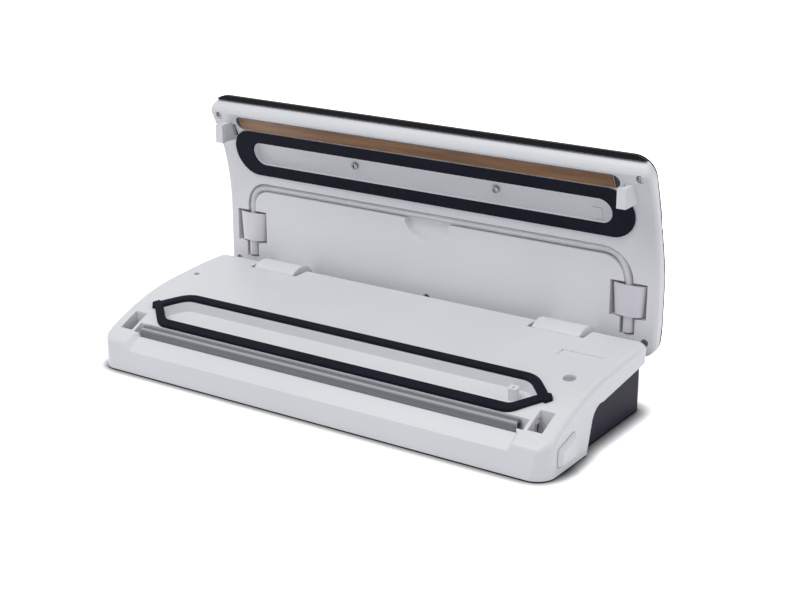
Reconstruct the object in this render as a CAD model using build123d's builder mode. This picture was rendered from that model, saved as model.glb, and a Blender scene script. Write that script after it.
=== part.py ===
from build123d import *
import math
import os

# Vacuum sealer, lid standing open. Millimetres, +Z up, +Y to the rear, origin under the middle of the
# whole part. Depths are measured backwards from the front edge of the base, heights from the table.

# Overall sizes
base_width = 390.0
half_width = base_width / 2
base_depth = 150.5
lid_back = 176.0
wall = 2.5
foot_proud = 1.0
side_clearance = 0.35
seat_gap = 0.05

# Hinge
hinge_depth = 144.3
hinge_height = 39.4
knuckle_radius = 17.7
knuckle_inset = 47.0
knuckle_length = 39.0
knuckle_outer = half_width - knuckle_inset
knuckle_inner = knuckle_outer - knuckle_length
knuckle_start = 0.5
knuckle_end = 130.5
hinge_side_gap = 3.5
hinge_run_gap = 0.5
hub_diameter = 12.0
cheek_width = 6.0
cheek_bottom = 33.0
pin_diameter = 4.0
pin_run = 0.05
pin_short = 0.5
cheek_room = 0.5

# Deck of the base: front edge, crown of the slope, knee and rear edge
front_lean = 1.5
nose_height = 23.0
slope_depth = 40.0
slope_height = 40.5
knee_depth = 92.0
knee_height = 50.5
crest_run = 28.0
crest_depth = knee_depth + crest_run
crest_height = 52.6
rear_height = 53.4
front_corner = 14.0
rear_corner = 8.0
deck_round = 4.5

# Side skirts: where the white skirt stops and how it sweeps up to the rear
skirt_foot = 58.0
skirt_bend_depth = 64.5
skirt_bend_height = 23.0
skirt_top_depth = 80.0
skirt_top_height = 32.0
skirt_rear_height = 39.4

# Bag lip and pressing strip at the front
lip_inset = 29.5
lip_half = half_width - lip_inset
lip_height = 16.8
lip_groove_rise = 0.6
lip_reach = 20.0
lip_ramp = 7.0
lip_ramp_angle = 45.0
strip_front = 13.2
strip_depth = 9.0
strip_floor = 25.6
strip_height = 8.4
strip_end_room = 5.2
strip_play = 0.2
strip_short = 0.8
strip_rear_drop = 2.2
strip_ridge_shift = 0.6
strip_brow_shift = 1.9
strip_brow_drop = 1.6
strip_nose_drop = 4.0
strip_round = 0.8
strip_bore_width = 4.2
strip_bore_height = 4.0
strip_bore_shift = 0.3
strip_bore_drop = 0.6
strip_bore_round = 1.0
beam_depth = 24.0
beam_bottom = 14.5

# Vacuum trough and its foam gasket
ring_front = 25.4
ring_rear = 58.6
ring_inset = 24.6
ring_taper = 17.5
ring_tip = half_width - ring_inset
ring_half = ring_tip - ring_taper
ring_middle = (ring_front + ring_rear) / 2
ring_band = 6.4
ring_rear_round = 18.0
ring_front_round = 12.0
ring_tip_round = 4.0
ring_height = 2.8
nub_root = 4.0
nub_length = 6.0
nub_width = 8.4
nub_nose = 3.0
trough_gap = 0.4
trough_depth = 7.5
trough_wall = 2.0

# Latches
hook_inset = 16.5
hook_centre = half_width - hook_inset
hook_width = 5.0
hook_low = 152.8
hook_tall = 14.4
hook_tip = 129.7
barb_reach = 2.0
barb_thick = 4.0
hook_window_side = 1.8
hook_window_low = 3.0
hook_window_top = 1.0
slot_width = 11.1
slot_front = 14.0
slot_length = 18.0
slot_shift = -0.45
slot_inner = hook_centre - slot_width / 2 - slot_shift
slot_outer = slot_inner + slot_width
well_wall = 1.5
well_bottom = 20.5
catch_front = 25.4
catch_length = 5.6
catch_gap = 0.35
catch_ledge = 3.0
catch_wall = 6.0
catch_undercut = 2.0
catch_bevel = 1.0
catch_window = 0.7
arm_bottom = 9.0
arm_thick = 5.0
release_front = 16.5
release_rear = 40.5
release_bottom = 6.0
release_front_top = 19.5
release_rear_top = 25.5
release_round = 3.0
release_proud = 3.0
release_depth = 8.7
release_bevel = 2.4
flange_lip = 1.6
flange_thick = 1.8
flange_gap = 0.3
spring_thick = 0.5
spring_bend = 1.2
spring_gap = 0.3
spring_end = 1.0
rib_length = 9.0
rib_thick = 3.0
rib_top = 18.0
rib_lead = 4.0
switch_inner = 5.0
switch_outer = 4.0
switch_lead = 3.0
switch_clear = 1.5
switch_top = 19.0
switch_stem = 2.4
switch_stem_top = 22.0

# Canister switch on the right of the deck
canister_inset = 21.0
canister_x = half_width - canister_inset
canister_depth = 70.0
canister_diameter = 8.6
canister_sunk = 1.2
canister_tall = 9.0
canister_travel = 1.5
canister_flange = 1.5
canister_flange_thick = 1.6
canister_round = 0.8
canister_switch_tall = 10.0
canister_switch_long = 20.0
canister_switch_thick = 6.4
canister_switch_gap = 0.6
canister_stem = 3.0
canister_stem_tall = 1.5

# Moulded recesses in the deck
recess_inset = 14.0
recess_length = 33.0
recess_right = half_width - recess_inset
recess_left = recess_right - recess_length
recess_front = 98.0
recess_depth = 10.0
recess_sink = 1.3
peg_inset = 15.5
peg_x = peg_inset - half_width
peg_depth = 98.5
peg_size = 4.2

# Lower housing
housing_inset = 6.0
housing_half = half_width - housing_inset
housing_rear = 154.0
housing_front = 4.0
housing_floor = 3.0
housing_wall = 2.2
housing_top = 38.4
housing_side_front = 60.0
foot_diameter = 14.0
foot_sink = 1.5
foot_inset = 30.0
foot_front = 26.0
foot_rear = 132.0
foot_round = 0.6
boss_diameter = 8.0
screw_diameter = 3.0
screw_head = 5.6
screw_head_tall = 1.7
screw_bite = 7.0
screw_play = 0.2
screw_thread = 0.05
screw_head_thick = 1.5
screw_tip = 2.2
front_screw_inset = 45.0
front_screw_depth = 10.0
side_screw_inset = 17.0
side_screw_depth = 112.0
rear_screw_x = 66.0
rear_screw_depth = 138.0

# Lid: inner face, top rim and outer cover
lid_inset = 0.5
lid_half = half_width - lid_inset
lid_bottom = 35.3
lid_top = 185.2
panel_depth = 161.0
panel_straight = 92.0
panel_bow = 165.0
panel_rim_drop = 11.2
panel_rim_height = lid_top - panel_rim_drop
rim_front = 138.8
rim_turn_drop = 7.0
rim_turn_height = lid_top - rim_turn_drop
rim_round = 6.5
lid_corner_top = 16.0
lid_corner_bottom = 13.0
cover_rise = 3.8
cover_lip_front = 142.0
cover_top_depth = 148.0
cover_mid_depth = 168.0
cover_mid_height = 132.0
cover_flat_top = 96.0
cover_flat_bottom = 60.0
cover_foot_depth = 168.5
cover_skin = 3.0
cover_rim = 5.5
panel_round = 3.0
cover_round = 5.0
cover_bend = 40.0
cover_over = 1.0

# Lid gasket and its channel
gasket_height = 142.6
gasket_inset = 16.5
gasket_length = 2 * (lid_half - gasket_inset)
gasket_tall = 38.5
gasket_proud = 1.6
gasket_band = 9.6
gasket_end_band = 17.5
channel_depth = 4.6

# Sealing strip
heat_height = 168.0
heat_slot_inset = 24.5
heat_slot_length = 2 * (lid_half - heat_slot_inset)
heat_slot_tall = 10.4
heat_bar_short = 9.0
heat_bar_length = heat_slot_length - heat_bar_short
heat_bar_tall = 9.6
heat_bar_thick = 3.2
heat_tape_thick = 0.4
heat_wire_tall = 3.0
heat_wire_thick = 0.25
terminal_gap = 0.3
terminal_sunk = 0.8
heat_wire_short = 4.0

# Accessory hose clipped into the lid and its two connectors
hose_diameter = 6.0
hose_bore = 3.6
hose_inset = 23.0
hose_reach = lid_half - hose_inset
hose_run_height = 112.0
hose_bend_left = 17.0
hose_bend_right = 22.0
hose_groove = 7.2
connector_top = 89.0
connector_bottom = 65.5
connector_wide = 26.0
connector_narrow = 22.0
connector_thick = 11.0
connector_wall = 1.8
connector_front = 158.3
nozzle_diameter = 8.5
nozzle_bore = 3.6
nozzle_bottom = 53.0
pocket_clearance = 1.6
pocket_gap = 0.4
hose_seat = 9.0
hose_barb = 6.0
finger_width = 40.0
finger_tall = 15.0
finger_sink = 5.0

# Lid screws
corner_screw_inset = 8.7
corner_screw_x = lid_half - corner_screw_inset
corner_screw_height = 172.5
lower_screw_height = 47.2
channel_screw_x = 63.4
channel_screw_height = 144.5
mid_screw_height = 46.8
lid_screw_head = 5.5
lid_screw_tall = 1.2
lid_screw_sink = 2.6
lid_screw_floor = 1.8
lid_screw_room = 0.5
lid_screw_length = 9.0
lid_screw_tip = 0.6
lid_cup = 9.2
lid_boss = 7.0
channel_screw_tall = 2.4
port_inset = 49.5
port_x = lid_half - port_inset
port_height = 138.5
port_size = 9.0
port_corner = 1.5
port_thick = 0.6

# Controls on the outside of the lid
bezel_height = 78.0
bezel_length = 132.0
bezel_tall = 26.0
bezel_thick = 2.0
bezel_sunk = 0.8
bezel_corner = 12.0
backing_thick = 2.6
backing_margin = 2.0
button_spacing = 44.0
button_length = 30.0
button_tall = 15.0
button_corner = 7.0
button_travel = 1.0
button_flange = 1.2
lens_spacing = 8.0
lens_diameter = 5.0
lens_length = 7.4
tact_size = 6.0
tact_body = 1.6
tact_stem = 3.4
stay_spacing = 63.5
stay_rise = 8.0
stay_diameter = 4.0
board_thick = 1.6

# Pump
motor_diameter = 36.0
motor_length = 50.0
motor_front = -68.0
motor_depth = 106.0
motor_height = 24.0
motor_shaft = 3.0
cap_diameter = 30.0
cap_length = 5.0
lug_half = 0.4
cradle_thick = 4.0
cradle_width = 28.0
cradle_top = 16.0
shaft_run = 0.05
bracket_thick = 3.0
bracket_front = 62.0
bracket_rear = 126.0
bracket_rise = 4.8
bracket_top = 42.0
tab_width = 12.0
tab_depth = 14.0
crank_plane = -50.0
crank_diameter = 17.0
crank_thick = 4.0
crank_gap = 3.0
crank_throw = 2.0
crank_cap = 10.5
crank_cap_thick = 1.5
eccentric_diameter = 8.0
rod_width = 6.0
rod_ring = 13.0
rod_thick = 5.0
cup_diameter = 18.0
cup_thick = 4.0
cup_depth = 78.0
cylinder_bore = 23.4
cylinder_length = 24.0
cylinder_head = 8.0
cylinder_tall = 28.0
nipple_length = 6.0

# Hoses inside the base
tube_diameter = 8.0
tube_bore = 4.6
barb_diameter = 4.5
barb_bore = 1.7
tube_depth = 45.0
tube_height = 24.0
tube_bend = 11.0
intake_inset = 50.0
intake_x = half_width - intake_inset
intake_long = 7.0
intake_wide = 5.0
intake_round = 1.2
intake_rise = 8.5
elbow_reach = 12.0
tee_x = 20.0
tee_body = 10.0
tee_barb = 10.0
valve_width = 22.0
valve_front = 58.0
valve_length = 24.0
valve_bottom = 14.0
valve_tall = 20.0
valve_coil = 16.0
valve_seat_inset = 4.0

# Electronics
pcb_left = -22.0
pcb_width = 66.0
pcb_front = 88.0
pcb_depth = 46.0
pcb_height = 12.0
pcb_hole = 4.0
pcb_screw = 2.0
pcb_screw_head = 4.4
pcb_post = 7.0
plug_wall = 1.0
plug_floor = 2.0
capacitor_diameter = 10.0
capacitor_tall = 14.0
relay_length = 19.0
relay_width = 15.0
relay_tall = 15.0
plug_length = 20.0
plug_width = 9.0
plug_tall = 7.0
core_left = 62.0
core_width = 44.0
core_front = 83.0
core_stack = 20.0
core_tall = 30.0
core_limb = 7.0
coil_overhang = 9.0
coil_margin = 0.4
strap_thick = 1.2
strap_foot = 12.0
pad_rise = 4.0

# Cord gland in the rear wall
gland_inset = 29.0
gland_x = gland_inset - half_width
gland_height = 18.0
gland_diameter = 12.0
gland_flange = 16.0
gland_bore = 7.0
gland_flange_thick = 1.6

front_y = -lid_back / 2
floor_bottom = foot_proud + 0.2
floor_top = floor_bottom + housing_floor
skirt_bottom = foot_proud
ceiling = 2 * lid_top
sides = (-1, 1)


def side(x=0.0):
    """Plane across the part at x: local x is depth from the front edge, local y is height."""
    return Plane(origin=(x, front_y, 0), x_dir=(0, 1, 0), z_dir=(1, 0, 0))


def plan(height):
    """Level plane at a height: local x is X, local y is depth from the front edge."""
    return Plane(origin=(0, front_y, height))


def facing(depth):
    """Upright plane at a depth, looking forwards: local x is X, local y is height."""
    return Plane(origin=(0, front_y + depth, 0), x_dir=(1, 0, 0), z_dir=(0, -1, 0))


def point(x, depth, height):
    """A point given by x, depth from the front edge and height."""
    return (x, front_y + depth, height)


def arc_drop(rise, radius):
    """How far a circular arc falls back from its tangent over a rise along that tangent."""
    return radius - math.sqrt(radius * radius - rise * rise)


def panel_face(height):
    """Depth of the lid's inner face at a height, lid open."""
    return panel_depth - arc_drop(max(height - panel_straight, 0.0), panel_bow)


def circle_height(depth, a, b, c):
    """Height at a depth on the circle through three points, upper branch."""
    (ax, ay), (bx, by), (cx, cy) = a, b, c
    d = 2 * (ax * (by - cy) + bx * (cy - ay) + cx * (ay - by))
    sa, sb, sc = ax * ax + ay * ay, bx * bx + by * by, cx * cx + cy * cy
    ux = (sa * (by - cy) + sb * (cy - ay) + sc * (ay - by)) / d
    uy = (sa * (cx - bx) + sb * (ax - cx) + sc * (bx - ax)) / d
    radius = math.hypot(ax - ux, ay - uy)
    return uy + math.sqrt(radius * radius - (depth - ux) ** 2)


def deck(depth):
    """Height of the deck at a depth."""
    if depth <= knee_depth:
        slope = (front_lean, nose_height), (slope_depth, slope_height), (knee_depth, knee_height)
        return circle_height(depth, *slope)
    crest = (knee_depth, knee_height), (crest_depth, crest_height), (base_depth, rear_height)
    return circle_height(depth, *crest)


def cover_section(inset, bottom, rear_inset):
    """Side outline of the base cover with its deck lowered by inset and its rear drawn in."""
    rear = base_depth - rear_inset
    nose = (front_lean, nose_height - inset)
    knee = (knee_depth, knee_height - inset)
    tail = (rear, rear_height - inset)
    with BuildSketch(side()) as section:
        with BuildLine():
            Polyline(nose, (0, bottom), (rear, bottom), tail)
            ThreePointArc(nose, (slope_depth, slope_height - inset), knee)
            ThreePointArc(knee, (crest_depth, crest_height - inset), tail)
        make_face()
    return section.sketch


def cover_outline(inset, bottom):
    """The base's rounded plan, drawn in by inset."""
    with BuildSketch(plan(bottom)) as outline:
        with Locations((0, base_depth / 2)):
            Rectangle(base_width - 2 * inset, base_depth - 2 * inset)
        fillet(outline.vertices().group_by(Axis.Y)[0], front_corner - inset)
        fillet(outline.vertices().group_by(Axis.Y)[-1], rear_corner - inset)
    return outline.sketch


def ring_outline(spread):
    """Foam ring's outline with pointed ends, spread outwards from its middle line."""
    rounds = [ring_rear_round, ring_rear_round, ring_tip_round, ring_front_round, ring_front_round,
              ring_tip_round]
    with BuildSketch(plan(0)) as ring:
        with BuildLine():
            FilletPolyline((ring_half, ring_rear), (-ring_half, ring_rear), (-ring_tip, ring_middle),
                           (-ring_half, ring_front), (ring_half, ring_front), (ring_tip, ring_middle),
                           radius=rounds, close=True)
        make_face()
        if spread:
            offset(amount=spread, kind=Kind.ARC)
    return ring.sketch


def lip_section(x):
    """Side outline of what is cleared over the bag lip, up to the pressing strip."""
    with BuildSketch(side(x)) as section:
        Polygon((-lip_reach, lip_height), (0, lip_height), (strip_front, strip_floor + lip_groove_rise),
                (strip_front, ceiling), (-lip_reach, ceiling), align=None)
    return section.sketch


def release_outline(x, spread):
    """Outline of a release button in the side wall, its top following the slope of the deck."""
    with BuildSketch(side(x)) as outline:
        with BuildLine():
            Polyline((release_front, release_bottom), (release_front, release_front_top),
                     (release_rear, release_rear_top), (release_rear, release_bottom), close=True)
        make_face()
        fillet(outline.vertices(), release_round)
        if spread:
            offset(amount=spread, kind=Kind.ARC)
    return outline.sketch


def remove_below_deck(sunk):
    """Keep only what lies above the deck lowered by sunk."""
    extrude(cover_section(sunk, -ceiling, -wall), amount=half_width + wall, both=True, mode=Mode.SUBTRACT)


def box_between(low, high, mode=Mode.ADD):
    """Box between two corners given as x, depth and height."""
    middle = [(a + b) / 2 for a, b in zip(low, high)]
    size = [abs(b - a) for a, b in zip(low, high)]
    with Locations(point(*middle)):
        Box(*size, mode=mode)


def upright(x, depth, bottom, diameter, tall, mode=Mode.ADD):
    """Upright cylinder on its foot."""
    with Locations(point(x, depth, bottom)):
        Cylinder(diameter / 2, tall, align=(Align.CENTER, Align.CENTER, Align.MIN), mode=mode)


def across(x_start, x_end, depth, height, diameter, mode=Mode.ADD):
    """Cylinder lying along X."""
    with Locations(Location(point((x_start + x_end) / 2, depth, height), (0, 90, 0))):
        Cylinder(diameter / 2, abs(x_end - x_start), mode=mode)


def lengthwise(x, depth_start, depth_end, height, diameter, mode=Mode.ADD):
    """Cylinder lying along Y."""
    with Locations(Location(point(x, (depth_start + depth_end) / 2, height), (90, 0, 0))):
        Cylinder(diameter / 2, abs(depth_end - depth_start), mode=mode)


os.makedirs("parts", exist_ok=True)


def save(piece, name):
    """Label a finished piece and write it."""
    piece.part.label = name
    export_step(piece.part, f"parts/{name}.step")


# Hinge layout across the width: cheeks of the base either side of each lid knuckle
notch_inner = knuckle_inner - hinge_side_gap
notch_outer = knuckle_outer + hinge_side_gap
cheek_inner = notch_inner - cheek_width
cheek_outer = notch_outer + cheek_width
screw_spots = [(0, front_screw_depth)]
for s in sides:
    screw_spots.append((s * (half_width - front_screw_inset), front_screw_depth))
    screw_spots.append((s * rear_screw_x, rear_screw_depth))
    screw_spots.append((s * (half_width - side_screw_inset), side_screw_depth))
trough_spread = -ring_band / 2 - trough_gap
hook_low_closed = hook_tip - hinge_depth + hinge_height
catch_tip = hook_centre - hook_width / 2 - barb_reach - catch_gap
catch_height = hook_low_closed + barb_thick + catch_gap
catch_top = catch_height + catch_ledge
catch_rear = catch_front + catch_length
slot_rear = slot_front + slot_length
groove_half = lip_half + strip_end_room
strip_rear = strip_front + strip_depth

# Base cover, outer form with rounded top edges
with BuildPart() as cover_outer:
    extrude(cover_section(0, skirt_bottom, 0), amount=half_width, both=True)
    extrude(cover_outline(0, 0), amount=ceiling, mode=Mode.INTERSECT)
    rims = cover_outer.edges().filter_by(lambda e: e.center().Z > nose_height - 3)
    rims = rims.filter_by(lambda e: abs(e.tangent_at(0.5).Z) < 0.9)
    rims = rims.filter_by(lambda e: abs(e.center().Y - front_y - knee_depth) > 1)
    fillet(rims, deck_round)

# Hollow of the base cover, less the solids that stay inside it
with BuildPart() as trough_box:
    extrude(ring_outline(trough_spread + trough_wall), amount=ceiling)
    remove_below_deck(trough_depth + trough_wall)

with BuildPart() as cover_cavity:
    extrude(cover_section(wall, -ceiling, wall), amount=half_width - wall, both=True)
    extrude(cover_outline(wall, -ceiling), amount=2 * ceiling, mode=Mode.INTERSECT)
    box_between((-groove_half - wall, 0, beam_bottom), (groove_half + wall, beam_depth, ceiling),
                Mode.SUBTRACT)
    add(trough_box.part, mode=Mode.SUBTRACT)
    for s in sides:
        for inner, outer in ((cheek_inner, notch_inner), (notch_outer, cheek_outer)):
            box_between((s * inner, hinge_depth - knuckle_radius, cheek_bottom),
                        (s * outer, base_depth, ceiling), Mode.SUBTRACT)
        box_between((s * (slot_inner - well_wall), slot_front - well_wall, well_bottom),
                    (s * (slot_outer + well_wall), slot_rear + well_wall, ceiling), Mode.SUBTRACT)
    for x, depth in screw_spots:
        upright(x, depth, floor_top, boss_diameter, ceiling, Mode.SUBTRACT)

with BuildPart() as trough_space:
    extrude(ring_outline(trough_spread), amount=ceiling)
    remove_below_deck(trough_depth)

with BuildPart() as recess_space:
    box_between((recess_left, recess_front, 0), (recess_right, recess_front + recess_depth, ceiling))
    remove_below_deck(recess_sink)

with BuildPart() as top_cover:
    add(cover_outer.part)
    add(cover_cavity.part, mode=Mode.SUBTRACT)
    add(trough_space.part, mode=Mode.SUBTRACT)
    add(recess_space.part, mode=Mode.SUBTRACT)
    # bag lip sloping up to the pressing strip, and the strip's groove
    extrude(lip_section(0), amount=lip_half, both=True, mode=Mode.SUBTRACT)
    for s in sides:
        extrude(lip_section(s * lip_half), amount=s * lip_ramp, taper=lip_ramp_angle, mode=Mode.SUBTRACT)
    box_between((-groove_half, strip_front, strip_floor), (groove_half, strip_rear, ceiling), Mode.SUBTRACT)
    # side skirts sweep up to the rear
    for s in sides:
        with BuildSketch(side(s * (half_width - 2 * wall))):
            with BuildLine():
                Polyline((skirt_foot, -wall), (skirt_foot, skirt_bottom),
                         (skirt_bend_depth, skirt_bend_height))
                TangentArc((skirt_bend_depth, skirt_bend_height), (skirt_top_depth, skirt_top_height),
                           tangent=(skirt_bend_depth - skirt_foot, skirt_bend_height - skirt_bottom))
                Polyline((skirt_top_depth, skirt_top_height), (base_depth - rear_corner, skirt_rear_height),
                         (base_depth + wall, skirt_rear_height), (base_depth + wall, -wall),
                         (skirt_foot, -wall))
            make_face()
        extrude(amount=s * 3 * wall, mode=Mode.SUBTRACT)
        # rear wall stops above the housing beside the hinge cheeks
        box_between((s * cheek_outer, base_depth - rear_corner, -wall),
                    (s * (half_width + wall), base_depth + wall, skirt_rear_height), Mode.SUBTRACT)
        box_between((s * cheek_inner, base_depth - wall - seat_gap, -wall),
                    (s * cheek_outer, base_depth + wall, cheek_bottom),
                    Mode.SUBTRACT)
        # knuckle pocket and hinge pin hole
        across(s * notch_inner, s * notch_outer, hinge_depth, hinge_height,
               2 * (knuckle_radius + hinge_run_gap), Mode.SUBTRACT)
        box_between((s * notch_inner, hinge_depth, -wall), (s * notch_outer, base_depth + wall, ceiling),
                    Mode.SUBTRACT)
        across(s * cheek_inner, s * cheek_outer, hinge_depth, hinge_height, pin_diameter, Mode.SUBTRACT)
        # latch slot, the gap for its catch and the release button window
        box_between((s * slot_inner, slot_front, beam_bottom), (s * slot_outer, slot_rear, ceiling),
                    Mode.SUBTRACT)
        box_between((s * (slot_inner - 2 * well_wall), catch_front - catch_window, beam_bottom),
                    (s * slot_outer, catch_rear + catch_window, catch_top + catch_window), Mode.SUBTRACT)
        window = release_outline(s * (half_width - 2 * wall), side_clearance)
        extrude(window, amount=s * 3 * wall, mode=Mode.SUBTRACT)
    box_between((-cheek_inner, base_depth - wall - seat_gap, -wall),
                (cheek_inner, base_depth + wall, skirt_rear_height),
                Mode.SUBTRACT)
    # intake hole through the trough floor
    upright(intake_x, tube_depth, beam_bottom, barb_diameter + 2 * seat_gap, deck(tube_depth) - beam_bottom,
            Mode.SUBTRACT)
    # canister switch hole, peg hole and screw pilots
    upright(canister_x, canister_depth, floor_top, canister_diameter + 2 * side_clearance, ceiling,
            Mode.SUBTRACT)
    box_between((peg_x - peg_size / 2, peg_depth - peg_size / 2, floor_top),
                (peg_x + peg_size / 2, peg_depth + peg_size / 2, ceiling), Mode.SUBTRACT)
    for x, depth in screw_spots:
        upright(x, depth, 0, screw_diameter, floor_top + screw_bite, Mode.SUBTRACT)
save(top_cover, "top_cover")

# Lower housing: floor inside the skirts, side and rear walls, posts and ribs for what it carries
rib_outer = hook_centre + hook_width / 2
rib_front = catch_rear + rib_lead
pcb_spots = [(pcb_left + pcb_hole, pcb_front + pcb_hole),
             (pcb_left + pcb_width - pcb_hole, pcb_front + pcb_hole),
             (pcb_left + pcb_hole, pcb_front + pcb_depth - pcb_hole),
             (pcb_left + pcb_width - pcb_hole, pcb_front + pcb_depth - pcb_hole)]
foot_spots = [(s * (half_width - foot_inset), depth) for s in sides for depth in (foot_front, foot_rear)]
canister_top = deck(canister_depth) - canister_sunk
canister_bottom = canister_top - canister_tall
canister_switch_bottom = canister_bottom - canister_travel - canister_switch_gap - canister_switch_tall
motor_rear = motor_front - motor_length
bracket_bottom = floor_top + bracket_rise
bracket_face = motor_front + bracket_thick
tab_spots = [(bracket_face + tab_width / 2, bracket_rear - tab_depth / 2),
             (motor_front - tab_width / 2, bracket_front + tab_depth / 2)]
core_bottom = floor_top + pad_rise
core_rear = core_front + core_stack
core_right = core_left + core_width
strap_spots = [(core_left - strap_foot / 2, (core_front + core_rear) / 2),
               (core_right + strap_foot / 2, (core_front + core_rear) / 2)]
with BuildPart() as lower_housing:
    with BuildSketch(plan(floor_bottom)) as base_plate:
        with Locations((0, (housing_front + housing_rear) / 2)):
            Rectangle(2 * housing_half, housing_rear - housing_front)
        fillet(base_plate.vertices().group_by(Axis.Y)[0], front_corner - wall)
        fillet(base_plate.vertices().group_by(Axis.Y)[-1], rear_corner)
    extrude(amount=housing_floor)
    with BuildSketch(plan(floor_top)) as wall_plan:
        with Locations((0, (housing_side_front + housing_rear) / 2)):
            Rectangle(2 * housing_half, housing_rear - housing_side_front)
        fillet(wall_plan.vertices().group_by(Axis.Y)[-1], rear_corner)
        room_rear = housing_rear - housing_wall
        room_front = housing_side_front - 2 * wall
        with Locations((0, (room_front + room_rear) / 2)):
            Rectangle(2 * (housing_half - housing_wall), room_rear - room_front, mode=Mode.SUBTRACT)
    extrude(amount=housing_top - floor_top)
    for s in sides:
        box_between((s * (cheek_inner - cheek_room), housing_rear - 2 * rear_corner,
                     cheek_bottom - cheek_room),
                    (s * (cheek_outer + cheek_room), housing_rear + wall, ceiling), Mode.SUBTRACT)
        box_between((s * (rib_outer - rib_thick), rib_front, floor_top),
                    (s * rib_outer, rib_front + rib_length, rib_top))
    for x, depth in pcb_spots:
        upright(x, depth, floor_top, pcb_post, pcb_height - floor_top)
        upright(x, depth, floor_top, pcb_screw, pcb_height, Mode.SUBTRACT)
    box_between((canister_x - canister_switch_long / 2, canister_depth - canister_switch_thick / 2,
                 floor_top),
                (canister_x + canister_switch_long / 2, canister_depth + canister_switch_thick / 2,
                 canister_switch_bottom))
    box_between((tee_x - valve_width / 2, valve_front + valve_seat_inset, floor_top),
                (tee_x + valve_width / 2, valve_front + valve_length - valve_seat_inset, valve_bottom))
    # cradle under the motor, posts under the pump bracket, pad and posts under the transformer
    box_between((motor_rear + cradle_thick, motor_depth - cradle_width / 2, floor_top),
                (motor_rear + 2 * cradle_thick, motor_depth + cradle_width / 2, cradle_top))
    across(motor_rear, motor_front, motor_depth, motor_height, motor_diameter + 2 * seat_gap, Mode.SUBTRACT)
    box_between((core_left, core_front, floor_top), (core_right, core_rear, core_bottom - seat_gap))
    for x, depth in tab_spots:
        upright(x, depth, floor_top, boss_diameter, bracket_rise - seat_gap)
    for x, depth in strap_spots:
        upright(x, depth, floor_top, boss_diameter, pad_rise - seat_gap)
    for x, depth in tab_spots + strap_spots:
        upright(x, depth, floor_top - housing_floor / 2, screw_diameter, housing_floor + pad_rise,
                Mode.SUBTRACT)
    for x, depth in foot_spots:
        upright(x, depth, floor_bottom, foot_diameter, foot_sink, Mode.SUBTRACT)
    for x, depth in screw_spots:
        upright(x, depth, 0, screw_diameter + 2 * screw_play, floor_top, Mode.SUBTRACT)
        upright(x, depth, 0, screw_head + 2 * screw_play, floor_bottom + screw_head_tall, Mode.SUBTRACT)
    lengthwise(gland_x, housing_rear - 2 * housing_wall, housing_rear + wall, gland_height, gland_diameter,
               Mode.SUBTRACT)
save(lower_housing, "lower_housing")

with BuildPart() as rubber_feet:
    for x, depth in foot_spots:
        upright(x, depth, 0, foot_diameter - 2 * seat_gap, floor_bottom + foot_sink)
    fillet(rubber_feet.faces().filter_by(Plane.XY).group_by(Axis.Z)[0].edges(), foot_round)
save(rubber_feet, "rubber_feet")

with BuildPart() as housing_screws:
    for x, depth in screw_spots:
        upright(x, depth, floor_bottom + screw_head_tall - screw_head_thick, screw_head, screw_head_thick)
        upright(x, depth, floor_bottom + screw_head_tall, screw_diameter - 2 * screw_thread,
                housing_floor + screw_bite - screw_tip)
save(housing_screws, "housing_screws")

# Foam gasket round the trough, its joined ends left as little tails at both points
with BuildPart() as base_gasket:
    extrude(ring_outline(ring_band / 2), amount=ceiling)
    for s in sides:
        with BuildSketch(plan(0)):
            root, nose, end = ring_tip - nub_root, ring_tip + nub_length - nub_nose, ring_tip + nub_length
            Polygon((s * root, ring_middle - ring_band / 2), (s * root, ring_middle + ring_band / 2),
                    (s * nose, ring_middle + nub_width / 2), (s * end, ring_middle),
                    (s * nose, ring_middle - nub_width / 2), align=None)
        extrude(amount=ceiling)
    extrude(ring_outline(-ring_band / 2), amount=ceiling, mode=Mode.SUBTRACT)
    remove_below_deck(-seat_gap)
    extrude(cover_section(-ring_height, 0, -wall), amount=half_width, both=True, mode=Mode.INTERSECT)
save(base_gasket, "base_gasket")

# Hollow rubber pressing strip with a ridge along its top
strip_middle = strip_front + strip_depth / 2
with BuildPart() as seal_strip:
    with BuildSketch(side()) as strip_section:
        with BuildLine():
            low, top = strip_floor + seat_gap, strip_floor + strip_height
            near, far = strip_front + strip_play, strip_rear - strip_play
            Polyline((near, low), (far, low), (far, top - strip_rear_drop),
                     (strip_middle + strip_ridge_shift, top),
                     (strip_front + strip_brow_shift, top - strip_brow_drop),
                     (near, top - strip_nose_drop), close=True)
        make_face()
        fillet(strip_section.vertices().group_by(Axis.Z)[1:], strip_round)
        with Locations((strip_middle + strip_bore_shift, strip_floor + strip_height / 2 - strip_bore_drop)):
            RectangleRounded(strip_bore_width, strip_bore_height, strip_bore_round, mode=Mode.SUBTRACT)
    extrude(amount=lip_half - strip_short, both=True)
save(seal_strip, "seal_strip")

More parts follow.
